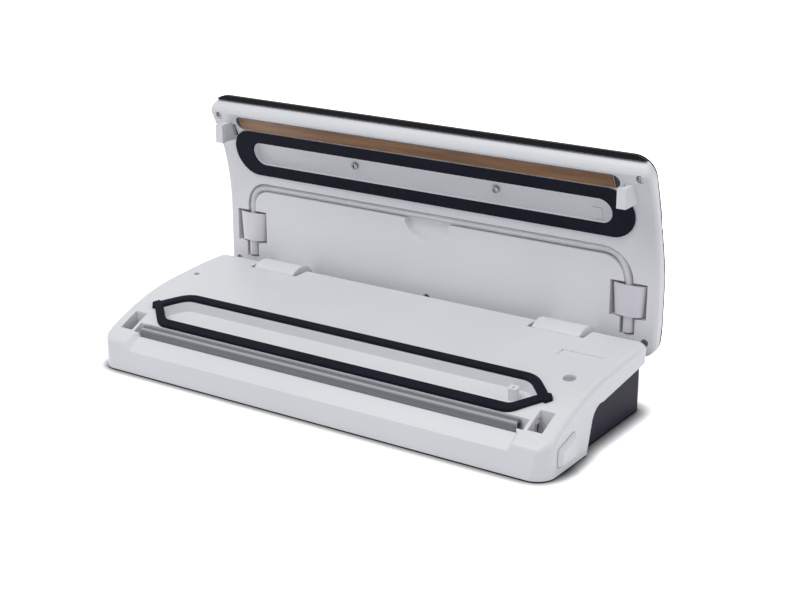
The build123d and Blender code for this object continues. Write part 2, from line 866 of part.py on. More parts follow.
# Intake post in the trough with an elbow under its floor
intake_floor = deck(tube_depth) - trough_depth
with BuildPart() as intake_port:
    with BuildSketch(plan(0)):
        with Locations((intake_x, tube_depth)):
            RectangleRounded(intake_long, intake_wide, intake_round)
    extrude(amount=ceiling)
    remove_below_deck(trough_depth - seat_gap)
    extrude(cover_section(trough_depth - intake_rise, 0, -wall), amount=half_width, both=True,
            mode=Mode.INTERSECT)
    upright(intake_x, tube_depth, tube_height, barb_diameter, intake_floor - tube_height + intake_round)
    with Locations(point(intake_x, tube_depth, tube_height)):
        Sphere(barb_diameter / 2)
    across(intake_x - elbow_reach, intake_x, tube_depth, tube_height, barb_diameter)
    upright(intake_x, tube_depth, tube_height, barb_bore, ceiling, Mode.SUBTRACT)
    across(intake_x - elbow_reach - wall, intake_x, tube_depth, tube_height, barb_bore, Mode.SUBTRACT)
save(intake_port, "intake_port")

# Cord gland: a flanged bush in the rear wall
with BuildPart() as cord_gland:
    lengthwise(gland_x, housing_rear - 2 * housing_wall, housing_rear + seat_gap, gland_height,
               gland_diameter - 2 * seat_gap)
    lengthwise(gland_x, housing_rear + seat_gap, housing_rear + gland_flange_thick, gland_height,
               gland_flange)
    lengthwise(gland_x, housing_rear - 3 * housing_wall, housing_rear + 2 * gland_flange_thick,
               gland_height, gland_bore,
               Mode.SUBTRACT)
save(cord_gland, "cord_gland")

with BuildPart() as hinge_pins:
    for s in sides:
        across(s * (cheek_inner + pin_short), s * (cheek_outer - pin_short), hinge_depth, hinge_height,
               pin_diameter - 2 * pin_run)
save(hinge_pins, "hinge_pins")

# Canister switch: a sunk button over its own small switch
with BuildPart() as canister_button:
    upright(canister_x, canister_depth, canister_bottom, canister_diameter, canister_tall)
    upright(canister_x, canister_depth, canister_bottom, canister_diameter + 2 * canister_flange,
            canister_flange_thick)
    fillet(canister_button.edges().group_by(Axis.Z)[-1], canister_round)
save(canister_button, "canister_button")

with BuildPart() as canister_switch:
    box_between((canister_x - canister_switch_long / 2, canister_depth - canister_switch_thick / 2,
                 canister_switch_bottom),
                (canister_x + canister_switch_long / 2, canister_depth + canister_switch_thick / 2,
                 canister_switch_bottom + canister_switch_tall - canister_stem_tall))
    upright(canister_x, canister_depth, canister_switch_bottom, canister_stem, canister_switch_tall)
save(canister_switch, "canister_switch")

# Release buttons with their catches and leaf springs, one at each side
button_face = half_width + release_proud
button_back = button_face - release_depth
flange_face = half_width - wall - flange_gap
catch_foot = catch_tip - catch_wall
catch_stem = catch_tip - catch_undercut
arm_top = arm_bottom + arm_thick
for s, hand in ((-1, "left"), (1, "right")):
    with BuildPart() as release_button:
        extrude(release_outline(s * button_back, 0), amount=s * release_depth)
        chamfer(release_button.faces().sort_by(Axis.X)[0 if s < 0 else -1].edges(), release_bevel)
        extrude(release_outline(s * (flange_face - flange_thick), flange_lip), amount=s * flange_thick)
    save(release_button, f"release_button_{hand}")

    with BuildPart() as latch_catch:
        with BuildSketch(facing(catch_front)):
            Polygon((s * button_back, arm_bottom), (s * button_back, arm_top), (s * catch_stem, arm_top),
                    (s * catch_stem, catch_height), (s * catch_tip, catch_height),
                    (s * (catch_tip - catch_bevel), catch_top), (s * catch_foot, catch_top),
                    (s * catch_foot, arm_bottom), align=None)
        extrude(amount=-catch_length)
    save(latch_catch, f"latch_catch_{hand}")

    with BuildPart() as latch_spring:
        spring_middle = (button_back + rib_outer) / 2
        with BuildSketch(plan(arm_bottom)):
            with BuildLine() as leaf:
                FilletPolyline((s * (button_back - spring_gap), rib_front + spring_end),
                               (s * spring_middle, rib_front + rib_length - spring_end),
                               (s * (rib_outer + spring_gap), rib_front + spring_end), radius=spring_bend)
            trace(line_width=spring_thick)
        extrude(amount=rib_top - arm_bottom - spring_end)
    save(latch_spring, f"latch_spring_{hand}")

with BuildPart() as lid_switches:
    for s in sides:
        box_between((s * (hook_centre - switch_inner), slot_front - switch_lead, floor_top),
                    (s * (hook_centre + switch_outer), catch_front - switch_clear, switch_top))
        upright(s * hook_centre, slot_front + switch_lead, floor_top, switch_stem,
                switch_stem_top - floor_top)
save(lid_switches, "lid_switches")


def panel_line(shift):
    """Corners of the lid's inner face line shifted in depth: foot, end of the straight and top of the bow."""
    foot = (panel_depth + shift, lid_bottom)
    bend = (panel_depth + shift, panel_straight)
    brow = (panel_face(panel_rim_height) + shift, panel_rim_height)
    return foot, bend, brow


def outer_line(skin):
    """Lid cover's outer line drawn in by skin: top, middle of the bow, both ends of the flat, foot."""
    top = (cover_top_depth - 0.5 * skin, lid_top + cover_rise + cover_over - skin)
    middle = (cover_mid_depth - skin, cover_mid_height - 0.25 * skin)
    flat_top = (lid_back - skin, cover_flat_top)
    flat_bottom = (lid_back - skin, cover_flat_bottom)
    foot = (cover_foot_depth - 0.5 * skin, lid_bottom - cover_over)
    return top, middle, flat_top, flat_bottom, foot


def draw_outer(skin):
    """Lines of the cover's outer side from its top down to its foot."""
    top, middle, flat_top, flat_bottom, foot = outer_line(skin)
    ThreePointArc(top, middle, flat_top)
    Line(flat_top, flat_bottom)
    TangentArc(flat_bottom, foot, tangent=(0, -1))


def panel_section(inset):
    """Side outline of the white panel; inset draws its front, top and bottom in for the hollow behind it."""
    foot, bend, brow = panel_line(inset)
    skin = cover_skin - 2 * inset
    foot = (foot[0], lid_bottom + inset)
    with BuildSketch(side()) as section:
        with BuildLine():
            Line(foot, bend)
            bow = TangentArc(bend, brow, tangent=(0, 1))
            lip = TangentArc(bow @ 1, (rim_front + inset, rim_turn_height - inset), tangent=bow % 1)
            crown = (rim_front + rim_round, lid_top - inset)
            TangentArc(lip @ 1, crown, tangent=lip % 1)
            top, middle, flat_top, flat_bottom, heel = outer_line(skin)
            top = (top[0], lid_top - inset)
            heel = (heel[0], lid_bottom + inset)
            Line(crown, top)
            ThreePointArc(top, middle, flat_top)
            Line(flat_top, flat_bottom)
            Polyline(flat_bottom, heel, foot)
        make_face()
    return section.sketch


def inside_cover(skin):
    """Side outline of all that lies in front of the cover's outer line drawn in by skin."""
    top, middle, flat_top, flat_bottom, heel = outer_line(skin)
    top = (top[0], lid_top + seat_gap)
    with BuildSketch(side()) as inside:
        with BuildLine():
            Polyline(top, (0, lid_top + seat_gap), (0, 0), (heel[0], 0), heel, flat_bottom, flat_top)
            ThreePointArc(flat_top, middle, top)
        make_face()
    return inside.sketch


def lid_outline(inset):
    """Lid's front outline with rounded corners, drawn in by inset."""
    tall = lid_top + cover_rise - lid_bottom
    with BuildSketch(facing(0)) as outline:
        with Locations((0, lid_bottom + tall / 2)):
            Rectangle(2 * (lid_half - inset), tall - 2 * inset)
        fillet(outline.vertices().group_by(Axis.Y)[0], lid_corner_bottom - inset)
        fillet(outline.vertices().group_by(Axis.Y)[-1], lid_corner_top - inset)
    return outline.sketch


def panel_band(front, back):
    """Side outline between two lines parallel to the lid's inner face, in front of it and behind it."""
    with BuildSketch(side()) as band:
        with BuildLine():
            near, far = panel_line(front), panel_line(back)
            for foot, bend, brow in (near, far):
                Line(foot, bend)
                TangentArc(bend, brow, tangent=(0, 1))
            Line(near[0], far[0])
            Line(near[2], far[2])
        make_face()
    return band.sketch


def slot_face(length, tall, height):
    """Round-ended slot on the lid, seen from the front."""
    with BuildSketch(facing(0)) as slot:
        with Locations((0, height)):
            SlotOverall(length, tall)
    return slot.sketch


def bar_face(length, tall, height):
    """Square-ended bar on the lid, seen from the front."""
    with BuildSketch(facing(0)) as bar:
        with Locations((0, height)):
            Rectangle(length, tall)
    return bar.sketch


def hose_line(depth):
    """Middle line of the accessory hose, up from one connector, across and down to the other."""
    with BuildLine(facing(depth)) as route:
        FilletPolyline((-hose_reach, hose_end), (-hose_reach, hose_run_height),
                       (hose_reach, hose_run_height),
                       (hose_reach, hose_end), radius=[hose_bend_left, hose_bend_right])
    return route.line


def hose_trench(width, end):
    """Front view of the groove that holds the hose, as wide as given, from end height upwards."""
    with BuildSketch(facing(0)) as trench:
        with BuildLine():
            FilletPolyline((-hose_reach, end), (-hose_reach, hose_run_height),
                           (hose_reach, hose_run_height),
                           (hose_reach, end), radius=[hose_bend_left, hose_bend_right])
        trace(line_width=width)
    return trench.sketch


def connector_pocket(spread):
    """Front view of the stepped recesses that hold the two hose connectors."""
    with BuildSketch(facing(0)) as pocket:
        with Locations((-hose_reach, 0), (hose_reach, 0)):
            with Locations((0, (connector_top + connector_bottom) / 2)):
                Rectangle(connector_wide + 2 * spread, connector_top - connector_bottom + 2 * spread)
            with Locations((0, (nozzle_bottom + connector_bottom) / 2)):
                Rectangle(nozzle_diameter + 2 * spread, connector_bottom - nozzle_bottom + 2 * spread)
    return pocket.sketch


def finger_face(spread):
    """Front view of the half-moon finger recess under the hose."""
    with BuildSketch(facing(0)) as recess:
        with Locations((0, hose_run_height - hose_groove / 2)):
            Ellipse(finger_width / 2 + spread, finger_tall + spread)
            Rectangle(finger_width + 2 * spread, 2 * finger_tall, align=(Align.CENTER, Align.MIN),
                      mode=Mode.SUBTRACT)
    return recess.sketch


def on_lid_rim(edge):
    """Whether an edge runs round the lid's inner face."""
    middle = edge.center()
    face = panel_face(min(middle.Z, panel_rim_height)) + front_y
    outside = abs(middle.X) > lid_half / 2 or middle.Z < lid_bottom + seat_gap
    return outside and abs(middle.Y - face) < panel_round and abs(edge.tangent_at(0.5).Y) < 0.95


def on_cover_rim(edge):
    """Whether an edge of the cover's rear runs round its outside rather than straight across."""
    height = edge.center().Z
    at_end = min(abs(height - lid_top - cover_rise), abs(height - lid_bottom)) < seat_gap
    return at_end or abs(edge.tangent_at(0.5).X) < 0.99


def pill_face(depth, spots, length, tall, corner):
    """Rounded oblongs seen from the front, centred on spots given as x and height."""
    with BuildSketch(facing(depth)) as pills:
        with Locations(*spots):
            RectangleRounded(length, tall, corner)
    return pills.sketch


hose_end = connector_bottom + hose_seat
hose_centre_depth = connector_front + connector_thick / 2
pocket_floor = connector_front + connector_thick + pocket_gap
groove_floor = hose_centre_depth + hose_groove / 2
finger_floor = panel_depth + finger_sink
channel_length = gasket_length - 2 * gasket_end_band
channel_tall = gasket_tall - 2 * gasket_band
screw_heights = (corner_screw_height, lower_screw_height)
lid_screw_spots = [(s * corner_screw_x, height) for s in sides for height in screw_heights]
lid_screw_spots.append((0, mid_screw_height))
channel_screw_spots = [(s * channel_screw_x, channel_screw_height) for s in sides]

# White lid panel, outer form with its rim rounded
with BuildPart() as panel_outer:
    extrude(panel_section(0), amount=lid_half, both=True)
    extrude(lid_outline(0), amount=-2 * lid_back, mode=Mode.INTERSECT)
    rim = panel_outer.edges().filter_by(on_lid_rim)
    fillet(rim, panel_round)

# Hollow behind the panel, less the backs of its channel, slots and recesses
with BuildPart() as panel_backs:
    extrude(slot_face(channel_length + 2 * wall, channel_tall + 2 * wall, gasket_height),
            amount=-2 * lid_back)
    extrude(panel_band(-wall, channel_depth + wall), amount=lid_half, both=True, mode=Mode.INTERSECT)
with BuildPart() as heat_back:
    extrude(slot_face(heat_slot_length + 2 * wall, heat_slot_tall + 2 * wall, heat_height),
            amount=-2 * lid_back)
    extrude(panel_band(-wall, heat_bar_thick + wall), amount=lid_half, both=True, mode=Mode.INTERSECT)
with BuildPart() as panel_hollow:
    extrude(panel_section(wall), amount=lid_half - wall, both=True)
    extrude(lid_outline(wall), amount=-2 * lid_back, mode=Mode.INTERSECT)
    add(panel_backs.part, mode=Mode.SUBTRACT)
    add(heat_back.part, mode=Mode.SUBTRACT)
    extrude(hose_trench(hose_groove + 2 * wall, connector_top), amount=-(groove_floor + wall),
            mode=Mode.SUBTRACT)
    extrude(connector_pocket(pocket_clearance + wall), amount=-(pocket_floor + wall), mode=Mode.SUBTRACT)
    extrude(finger_face(wall), amount=-(finger_floor + wall), mode=Mode.SUBTRACT)
    for x, height in lid_screw_spots:
        cup_back = panel_face(height) + lid_screw_sink + lid_screw_floor
        lengthwise(x, 0, cup_back, height, lid_cup, Mode.SUBTRACT)

with BuildPart() as channel_space:
    extrude(slot_face(channel_length, channel_tall, gasket_height), amount=-2 * lid_back)
    extrude(panel_band(-wall, channel_depth), amount=lid_half, both=True, mode=Mode.INTERSECT)
with BuildPart() as heat_space:
    extrude(slot_face(heat_slot_length, heat_slot_tall, heat_height), amount=-2 * lid_back)
    extrude(panel_band(-wall, heat_bar_thick), amount=lid_half, both=True, mode=Mode.INTERSECT)

# Where the cover's rim wraps round the panel's edge
with BuildPart() as rim_space:
    extrude(lid_outline(-seat_gap), amount=-2 * lid_back)
    extrude(lid_outline(wall), amount=-2 * lid_back, mode=Mode.SUBTRACT)
    extrude(inside_cover(cover_rim), amount=half_width, both=True, mode=Mode.SUBTRACT)

with BuildPart() as lid_panel:
    add(panel_outer.part)
    add(panel_hollow.part, mode=Mode.SUBTRACT)
    add(rim_space.part, mode=Mode.SUBTRACT)
    for s in sides:
        # latch hook with its barb towards the middle, and the mould window beside it
        hook_in = hook_centre - hook_width / 2
        hook_top = hook_low + hook_tall
        box_between((s * hook_in, hook_tip, hook_low),
                    (s * (hook_in + hook_width), panel_face(hook_low) + wall / 2, hook_top))
        box_between((s * (hook_in - barb_reach), hook_tip, hook_low),
                    (s * hook_in, hook_tip + barb_thick, hook_top))
        box_between((s * (hook_in - barb_reach - hook_window_side), hook_tip + barb_thick,
                     hook_low + hook_window_low),
                    (s * hook_in, lid_back - 3 * cover_skin, hook_top - hook_window_top), Mode.SUBTRACT)
        # hinge knuckle: a sector about the hinge, closed to the panel, round its pin
        with BuildSketch(side(s * knuckle_inner)):
            with BuildLine():
                sector = CenterArc((hinge_depth, hinge_height), knuckle_radius, knuckle_start,
                                   knuckle_end - knuckle_start)
                Polyline(sector @ 0, (hinge_depth, hinge_height), sector @ 1)
            make_face()
            with Locations((hinge_depth, hinge_height)):
                Circle(hub_diameter / 2)
                Circle(pin_diameter / 2, mode=Mode.SUBTRACT)
        extrude(amount=s * (knuckle_outer - knuckle_inner))
    add(channel_space.part, mode=Mode.SUBTRACT)
    add(heat_space.part, mode=Mode.SUBTRACT)
    extrude(hose_trench(hose_groove, connector_top - pocket_gap), amount=-groove_floor, mode=Mode.SUBTRACT)
    extrude(connector_pocket(pocket_clearance), amount=-pocket_floor, mode=Mode.SUBTRACT)
    extrude(finger_face(0), amount=-finger_floor, mode=Mode.SUBTRACT)
    for x, height in lid_screw_spots + channel_screw_spots:
        lengthwise(x, 0, lid_back - cover_skin, height, screw_diameter + 2 * screw_play, Mode.SUBTRACT)
    for x, height in lid_screw_spots:
        lengthwise(x, 0, panel_face(height) + lid_screw_sink, height, lid_screw_head + lid_screw_room,
                   Mode.SUBTRACT)
save(lid_panel, "lid_panel")

# Dark lid cover: a bowed skin over the panel with bosses for the lid screws
with BuildPart() as cover_form:
    with BuildSketch(side()) as cover_side:
        with BuildLine():
            draw_outer(0)
            top, middle, flat_top, flat_bottom, foot = outer_line(0)
            Polyline(top, (top[0], ceiling), (cover_lip_front, ceiling), (cover_lip_front, 0), (foot[0], 0),
                     foot)
        make_face()
        fillet(cover_side.vertices().filter_by(lambda v: abs(v.Y - cover_flat_top) < seat_gap), cover_bend)
    extrude(amount=lid_half, both=True)
    extrude(lid_outline(0), amount=-2 * lid_back, mode=Mode.INTERSECT)
    rear_edges = cover_form.faces().filter_by(lambda f: f.normal_at().Y > 0.3).edges()
    fillet(rear_edges.filter_by(on_cover_rim), cover_round)

bezel_face = lid_back - bezel_sunk
bezel_back = bezel_face - bezel_thick
backing_front = bezel_back - backing_thick
bezel_spot = [(0, bezel_height)]
button_spots = [(s * button_spacing, bezel_height) for s in sides]
lens_spots = [(s * lens_spacing, bezel_height) for s in sides]
stay_spots = [(s * stay_spacing, bezel_height + t * stay_rise) for s in sides for t in sides]
press_back = backing_front - button_flange - seat_gap
tact_top = press_back - button_travel - seat_gap
lid_board_back = tact_top - tact_body - board_thick
with BuildPart() as cover_bosses:
    for x, height in lid_screw_spots:
        boss_foot = panel_face(height) + lid_screw_sink + lid_screw_floor + 2 * seat_gap
        lengthwise(x, boss_foot, lid_back, height, lid_boss)
    # backing behind the controls and the stays of their board
    extrude(pill_face(backing_front, bezel_spot, bezel_length + 2 * backing_margin,
                      bezel_tall + 2 * backing_margin,
                      bezel_corner), amount=-backing_thick - bezel_thick)
    for x, height in stay_spots:
        lengthwise(x, lid_board_back + board_thick + seat_gap, lid_back, height, stay_diameter)
        lengthwise(x, lid_board_back, lid_back, height, stay_diameter / 2)
    add(cover_form.part, mode=Mode.INTERSECT)

# Room for the panel inside the cover, its rim left standing round the edge
with BuildPart() as cover_room:
    extrude(inside_cover(cover_skin - seat_gap), amount=half_width, both=True)
    extrude(lid_outline(wall - seat_gap), amount=-2 * lid_back, mode=Mode.INTERSECT)
    extrude(inside_cover(cover_rim - seat_gap), amount=half_width, both=True)

with BuildPart() as lid_cover:
    add(cover_form.part)
    add(cover_room.part, mode=Mode.SUBTRACT)
    add(cover_bosses.part)
    for x, height in lid_screw_spots:
        hole_end = panel_face(height) + lid_screw_length + lid_screw_tip
        lengthwise(x, 0, hole_end, height, screw_diameter, Mode.SUBTRACT)
    extrude(pill_face(bezel_back - seat_gap, bezel_spot, bezel_length + 2 * seat_gap,
                      bezel_tall + 2 * seat_gap,
                      bezel_corner), amount=-lid_back, mode=Mode.SUBTRACT)
    extrude(pill_face(0, button_spots, button_length + 2 * side_clearance, button_tall + 2 * side_clearance,
                      button_corner), amount=-2 * lid_back, mode=Mode.SUBTRACT)
    for x, height in lens_spots:
        lengthwise(x, 0, 2 * lid_back, height, lens_diameter + 2 * seat_gap, Mode.SUBTRACT)
save(lid_cover, "lid_cover")

with BuildPart() as lid_gasket:
    extrude(slot_face(gasket_length, gasket_tall, gasket_height), amount=-2 * lid_back)
    extrude(slot_face(channel_length, channel_tall, gasket_height), amount=-2 * lid_back,
            mode=Mode.SUBTRACT)
    extrude(panel_band(-gasket_proud, -seat_gap), amount=lid_half, both=True, mode=Mode.INTERSECT)
save(lid_gasket, "lid_gasket")

# Sealing strip: insulating bar in its slot, heating ribbon and the brown tape over them
with BuildPart() as heat_bar:
    extrude(bar_face(heat_bar_length, heat_bar_tall, heat_height), amount=-2 * lid_back)
    extrude(panel_band(0, heat_bar_thick - seat_gap), amount=lid_half, both=True, mode=Mode.INTERSECT)
save(heat_bar, "heat_bar")

with BuildPart() as heat_element:
    extrude(bar_face(heat_bar_length - heat_wire_short, heat_wire_tall, heat_height), amount=-2 * lid_back)
    extrude(panel_band(-seat_gap - heat_wire_thick, -seat_gap), amount=lid_half, both=True,
            mode=Mode.INTERSECT)
save(heat_element, "heat_element")

tape_back = -2 * seat_gap - heat_wire_thick
with BuildPart() as heat_strip:
    extrude(bar_face(heat_bar_length, heat_bar_tall, heat_height), amount=-2 * lid_back)
    extrude(panel_band(tape_back - heat_tape_thick, tape_back), amount=lid_half, both=True,
            mode=Mode.INTERSECT)
save(heat_strip, "heat_strip")

with BuildPart() as strip_terminals:
    extrude(slot_face(heat_slot_length - 2 * terminal_gap, heat_slot_tall - 2 * terminal_gap, heat_height),
            amount=-2 * lid_back)
    extrude(panel_band(terminal_sunk, heat_bar_thick - seat_gap), amount=lid_half, both=True,
            mode=Mode.INTERSECT)
    extrude(bar_face(heat_bar_length + 2 * terminal_gap, 2 * heat_slot_tall, heat_height),
            amount=-2 * lid_back,
            mode=Mode.SUBTRACT)
save(strip_terminals, "strip_terminals")

# Lid screws: pan heads in the corner sinks and in the channel
with BuildPart() as lid_screws:
    for x, height in lid_screw_spots:
        seat = panel_face(height) + lid_screw_sink - seat_gap
        lengthwise(x, seat - lid_screw_tall, seat, height, lid_screw_head)
        lengthwise(x, seat - lid_screw_tall, panel_face(height) + lid_screw_length, height,
                   screw_diameter - 2 * screw_thread)
save(lid_screws, "lid_screws")

with BuildPart() as channel_screws:
    for x, height in channel_screw_spots:
        head = panel_face(height + lid_screw_head / 2) + channel_depth - seat_gap
        lengthwise(x, head - channel_screw_tall, head, height, lid_screw_head)
        lengthwise(x, head - channel_screw_tall, head + wall, height, screw_diameter - 2 * screw_thread)
save(channel_screws, "channel_screws")

with BuildPart() as channel_port:
    extrude(pill_face(0, [(port_x, port_height)], port_size, port_size, port_corner), amount=-2 * lid_back)
    extrude(panel_band(channel_depth - port_thick, channel_depth - seat_gap), amount=lid_half, both=True,
            mode=Mode.INTERSECT)
save(channel_port, "channel_port")

# Accessory hose and its two connectors
with BuildPart() as accessory_hose:
    route = hose_line(hose_centre_depth)
    with BuildSketch(Plane(origin=route @ 0, z_dir=route % 0)):
        Circle(hose_diameter / 2)
        Circle(hose_bore / 2, mode=Mode.SUBTRACT)
    sweep(path=route)
save(accessory_hose, "accessory_hose")

for s, hand in ((-1, "left"), (1, "right")):
    with BuildPart() as hose_connector:
        for inset, low in ((0, connector_bottom), (connector_wall, connector_bottom + 2 * connector_wall)):
            for height, width in ((low, connector_narrow), (connector_top, connector_wide)):
                with BuildSketch(plan(height)):
                    with Locations((s * hose_reach, hose_centre_depth)):
                        Ellipse(width / 2 - inset, connector_thick / 2 - inset)
            loft(ruled=True, mode=Mode.SUBTRACT if inset else Mode.ADD)
        upright(s * hose_reach, hose_centre_depth, nozzle_bottom, nozzle_diameter,
                connector_bottom - nozzle_bottom)
        upright(s * hose_reach, hose_centre_depth, connector_bottom + connector_wall,
                hose_bore - 2 * seat_gap,
                hose_end + hose_barb - connector_bottom - connector_wall)
        upright(s * hose_reach, hose_centre_depth, 0, nozzle_bore, connector_bottom + connector_wall,
                Mode.SUBTRACT)
    save(hose_connector, f"hose_connector_{hand}")

# Controls in the outside of the lid: bezel, two buttons, two lamps, and the small board behind them
with BuildPart() as control_bezel:
    extrude(pill_face(bezel_back, bezel_spot, bezel_length, bezel_tall, bezel_corner), amount=-bezel_thick)
    extrude(pill_face(0, button_spots, button_length + 2 * side_clearance, button_tall + 2 * side_clearance,
                      button_corner), amount=-2 * lid_back, mode=Mode.SUBTRACT)
    for x, height in lens_spots:
        lengthwise(x, 0, 2 * lid_back, height, lens_diameter + 2 * seat_gap, Mode.SUBTRACT)
save(control_bezel, "control_bezel")

for spot, name in zip(button_spots, ("seal_button", "start_button")):
    with BuildPart() as button:
        extrude(pill_face(press_back, [spot], button_length, button_tall, button_corner),
                amount=press_back - lid_back)
        fillet(button.faces().sort_by(Axis.Y)[-1].edges(), button_flange / 2)
        extrude(pill_face(press_back, [spot], button_length + 2 * button_flange,
                          button_tall + 2 * button_flange,
                          button_corner), amount=-button_flange)
    save(button, name)

with BuildPart() as indicator_lenses:
    for x, height in lens_spots:
        lengthwise(x, bezel_face - lens_length, bezel_face + bezel_sunk / 4, height, lens_diameter)
save(indicator_lenses, "indicator_lenses")

with BuildPart() as button_board:
    board_length = 2 * stay_spacing + 2 * stay_diameter
    board_tall = 2 * stay_rise + 2 * stay_diameter
    with BuildSketch(facing(lid_board_back)):
        with Locations((0, bezel_height)):
            Rectangle(board_length, board_tall)
        with Locations(*stay_spots):
            Circle(stay_diameter / 4 + seat_gap, mode=Mode.SUBTRACT)
    extrude(amount=-board_thick)
save(button_board, "button_board")

with BuildPart() as button_switches:
    tact_foot = lid_board_back + board_thick + seat_gap
    for x, height in button_spots:
        box_between((x - tact_size / 2, tact_foot, height - tact_size / 2),
                    (x + tact_size / 2, tact_top - tact_body / 2, height + tact_size / 2))
        lengthwise(x, tact_foot, tact_top, height, tact_stem)
save(button_switches, "button_switches")

# Pump: motor on its bracket, crank and rod driving a cup in the cylinder
with BuildPart() as pump_motor:
    across(motor_rear, motor_front - seat_gap, motor_depth, motor_height, motor_diameter)
    fillet(pump_motor.edges().filter_by(GeomType.CIRCLE), 2 * board_thick / 2)
    across(motor_rear + cap_length, motor_front, motor_depth, motor_height, motor_shaft + 2 * shaft_run,
           Mode.SUBTRACT)
save(pump_motor, "pump_motor")

with BuildPart() as motor_cap:
    across(motor_rear - cap_length, motor_rear - seat_gap, motor_depth, motor_height, cap_diameter)
    for s in sides:
        box_between((motor_rear - 2 * cap_length, motor_depth + s * cap_length - lug_half, motor_height),
                    (motor_rear - cap_length, motor_depth + s * cap_length + lug_half,
                     motor_height + cap_length))
save(motor_cap, "motor_cap")

with BuildPart() as pump_bracket:
    box_between((motor_front, bracket_front, bracket_bottom), (bracket_face, bracket_rear, bracket_top))
    for x, depth in tab_spots:
        box_between((x - tab_width / 2, depth - tab_depth / 2, bracket_bottom),
                    (x + tab_width / 2, depth + tab_depth / 2, bracket_bottom + bracket_thick))
        upright(x, depth, 0, screw_diameter + 2 * screw_play, ceiling, Mode.SUBTRACT)
    across(motor_front - wall, bracket_face + wall, motor_depth, motor_height, 2 * motor_shaft,
           Mode.SUBTRACT)
save(pump_bracket, "pump_bracket")

with BuildPart() as pump_screws:
    for x, depth in tab_spots:
        upright(x, depth, bracket_bottom + bracket_thick + seat_gap, screw_head, screw_head_tall)
        upright(x, depth, floor_top, screw_diameter - 2 * screw_thread,
                bracket_rise + bracket_thick + 2 * seat_gap)
save(pump_screws, "pump_screws")

cylinder_half = crank_plane - bracket_face
cylinder_rear = bracket_front + cylinder_length
with BuildPart() as pump_cylinder:
    box_between((bracket_face + seat_gap, bracket_front, motor_height - cylinder_tall / 2),
                (crank_plane + cylinder_half, cylinder_rear, motor_height + cylinder_tall / 2))
    lengthwise(crank_plane, bracket_front - nipple_length, bracket_front, motor_height, barb_diameter)
    lengthwise(crank_plane, bracket_front + cylinder_head, cylinder_rear + wall, motor_height,
               cylinder_bore,
               Mode.SUBTRACT)
    lengthwise(crank_plane, 0, cylinder_rear, motor_height, barb_bore, Mode.SUBTRACT)
save(pump_cylinder, "pump_cylinder")

rod_left = crank_plane - rod_width / 2
rod_right = crank_plane + rod_width / 2
disc_face = rod_left - crank_gap
throw_height = motor_height + crank_throw
with BuildPart() as crank:
    across(motor_rear + 2 * cap_length, disc_face, motor_depth, motor_height, motor_shaft)
    across(disc_face - crank_thick, disc_face, motor_depth, motor_height, crank_diameter)
    across(disc_face, rod_right + side_clearance, motor_depth, throw_height, eccentric_diameter)
    across(rod_right + side_clearance, rod_right + side_clearance + crank_cap_thick, motor_depth,
           throw_height, crank_cap)
save(crank, "crank")

with BuildPart() as connecting_rod:
    across(rod_left, rod_right, motor_depth, throw_height, rod_ring)
    box_between((crank_plane - rod_thick / 2, cup_depth + cup_thick + seat_gap,
                 throw_height - rod_thick / 2),
                (crank_plane + rod_thick / 2, motor_depth, throw_height + rod_thick / 2))
    across(rod_left, rod_right, motor_depth, throw_height, eccentric_diameter + 2 * shaft_run,
           Mode.SUBTRACT)
save(connecting_rod, "connecting_rod")

with BuildPart() as piston_cup:
    lengthwise(crank_plane, cup_depth, cup_depth + cup_thick, throw_height, cup_diameter)
    fillet(piston_cup.edges().group_by(Axis.Y)[0], cup_thick / 4)
save(piston_cup, "piston_cup")

# Hoses of the base: from the intake past a tee to the pump, with a release valve on the tee
tee_end = tee_body / 2 + side_clearance
with BuildPart() as intake_hose_right:
    across(tee_x + tee_end, intake_x - elbow_reach / 2, tube_depth, tube_height, tube_diameter)
    across(tee_x, intake_x, tube_depth, tube_height, tube_bore, Mode.SUBTRACT)
save(intake_hose_right, "intake_hose_right")

with BuildPart() as intake_hose_left:
    with BuildLine(plan(tube_height)) as tube_route:
        FilletPolyline((tee_x - tee_end, tube_depth), (crank_plane, tube_depth),
                       (crank_plane, bracket_front - side_clearance), radius=tube_bend)
    with BuildSketch(Plane(origin=tube_route.line @ 0, z_dir=tube_route.line % 0)):
        Circle(tube_diameter / 2)
        Circle(tube_bore / 2, mode=Mode.SUBTRACT)
    sweep(path=tube_route.line)
save(intake_hose_left, "intake_hose_left")

with BuildPart() as hose_tee:
    across(tee_x - tee_body / 2, tee_x + tee_body / 2, tube_depth, tube_height, tube_diameter)
    tee_half = tee_body / 2 + tee_barb
    across(tee_x - tee_half, tee_x + tee_half, tube_depth, tube_height, barb_diameter)
    lengthwise(tee_x, tube_depth, valve_front - seat_gap, tube_height, barb_diameter)
    across(tee_x - tee_half - wall, tee_x + tee_half + wall, tube_depth, tube_height, barb_bore,
           Mode.SUBTRACT)
    lengthwise(tee_x, tube_depth, valve_front + wall, tube_height, barb_bore, Mode.SUBTRACT)
save(hose_tee, "hose_tee")

with BuildPart() as release_valve:
    box_between((tee_x - valve_width / 2, valve_front, valve_bottom + seat_gap),
                (tee_x + valve_width / 2, valve_front + valve_length, valve_bottom + strap_thick))
    valve_middle = valve_bottom + valve_tall / 2
    for depth in (valve_front, valve_front + valve_length - 2 * strap_thick):
        box_between((tee_x - valve_width / 2, depth, valve_bottom + seat_gap),
                    (tee_x + valve_width / 2, depth + 2 * strap_thick, valve_bottom + valve_tall))
    lengthwise(tee_x, valve_front, valve_front + valve_length, valve_middle, valve_coil)
save(release_valve, "release_valve")

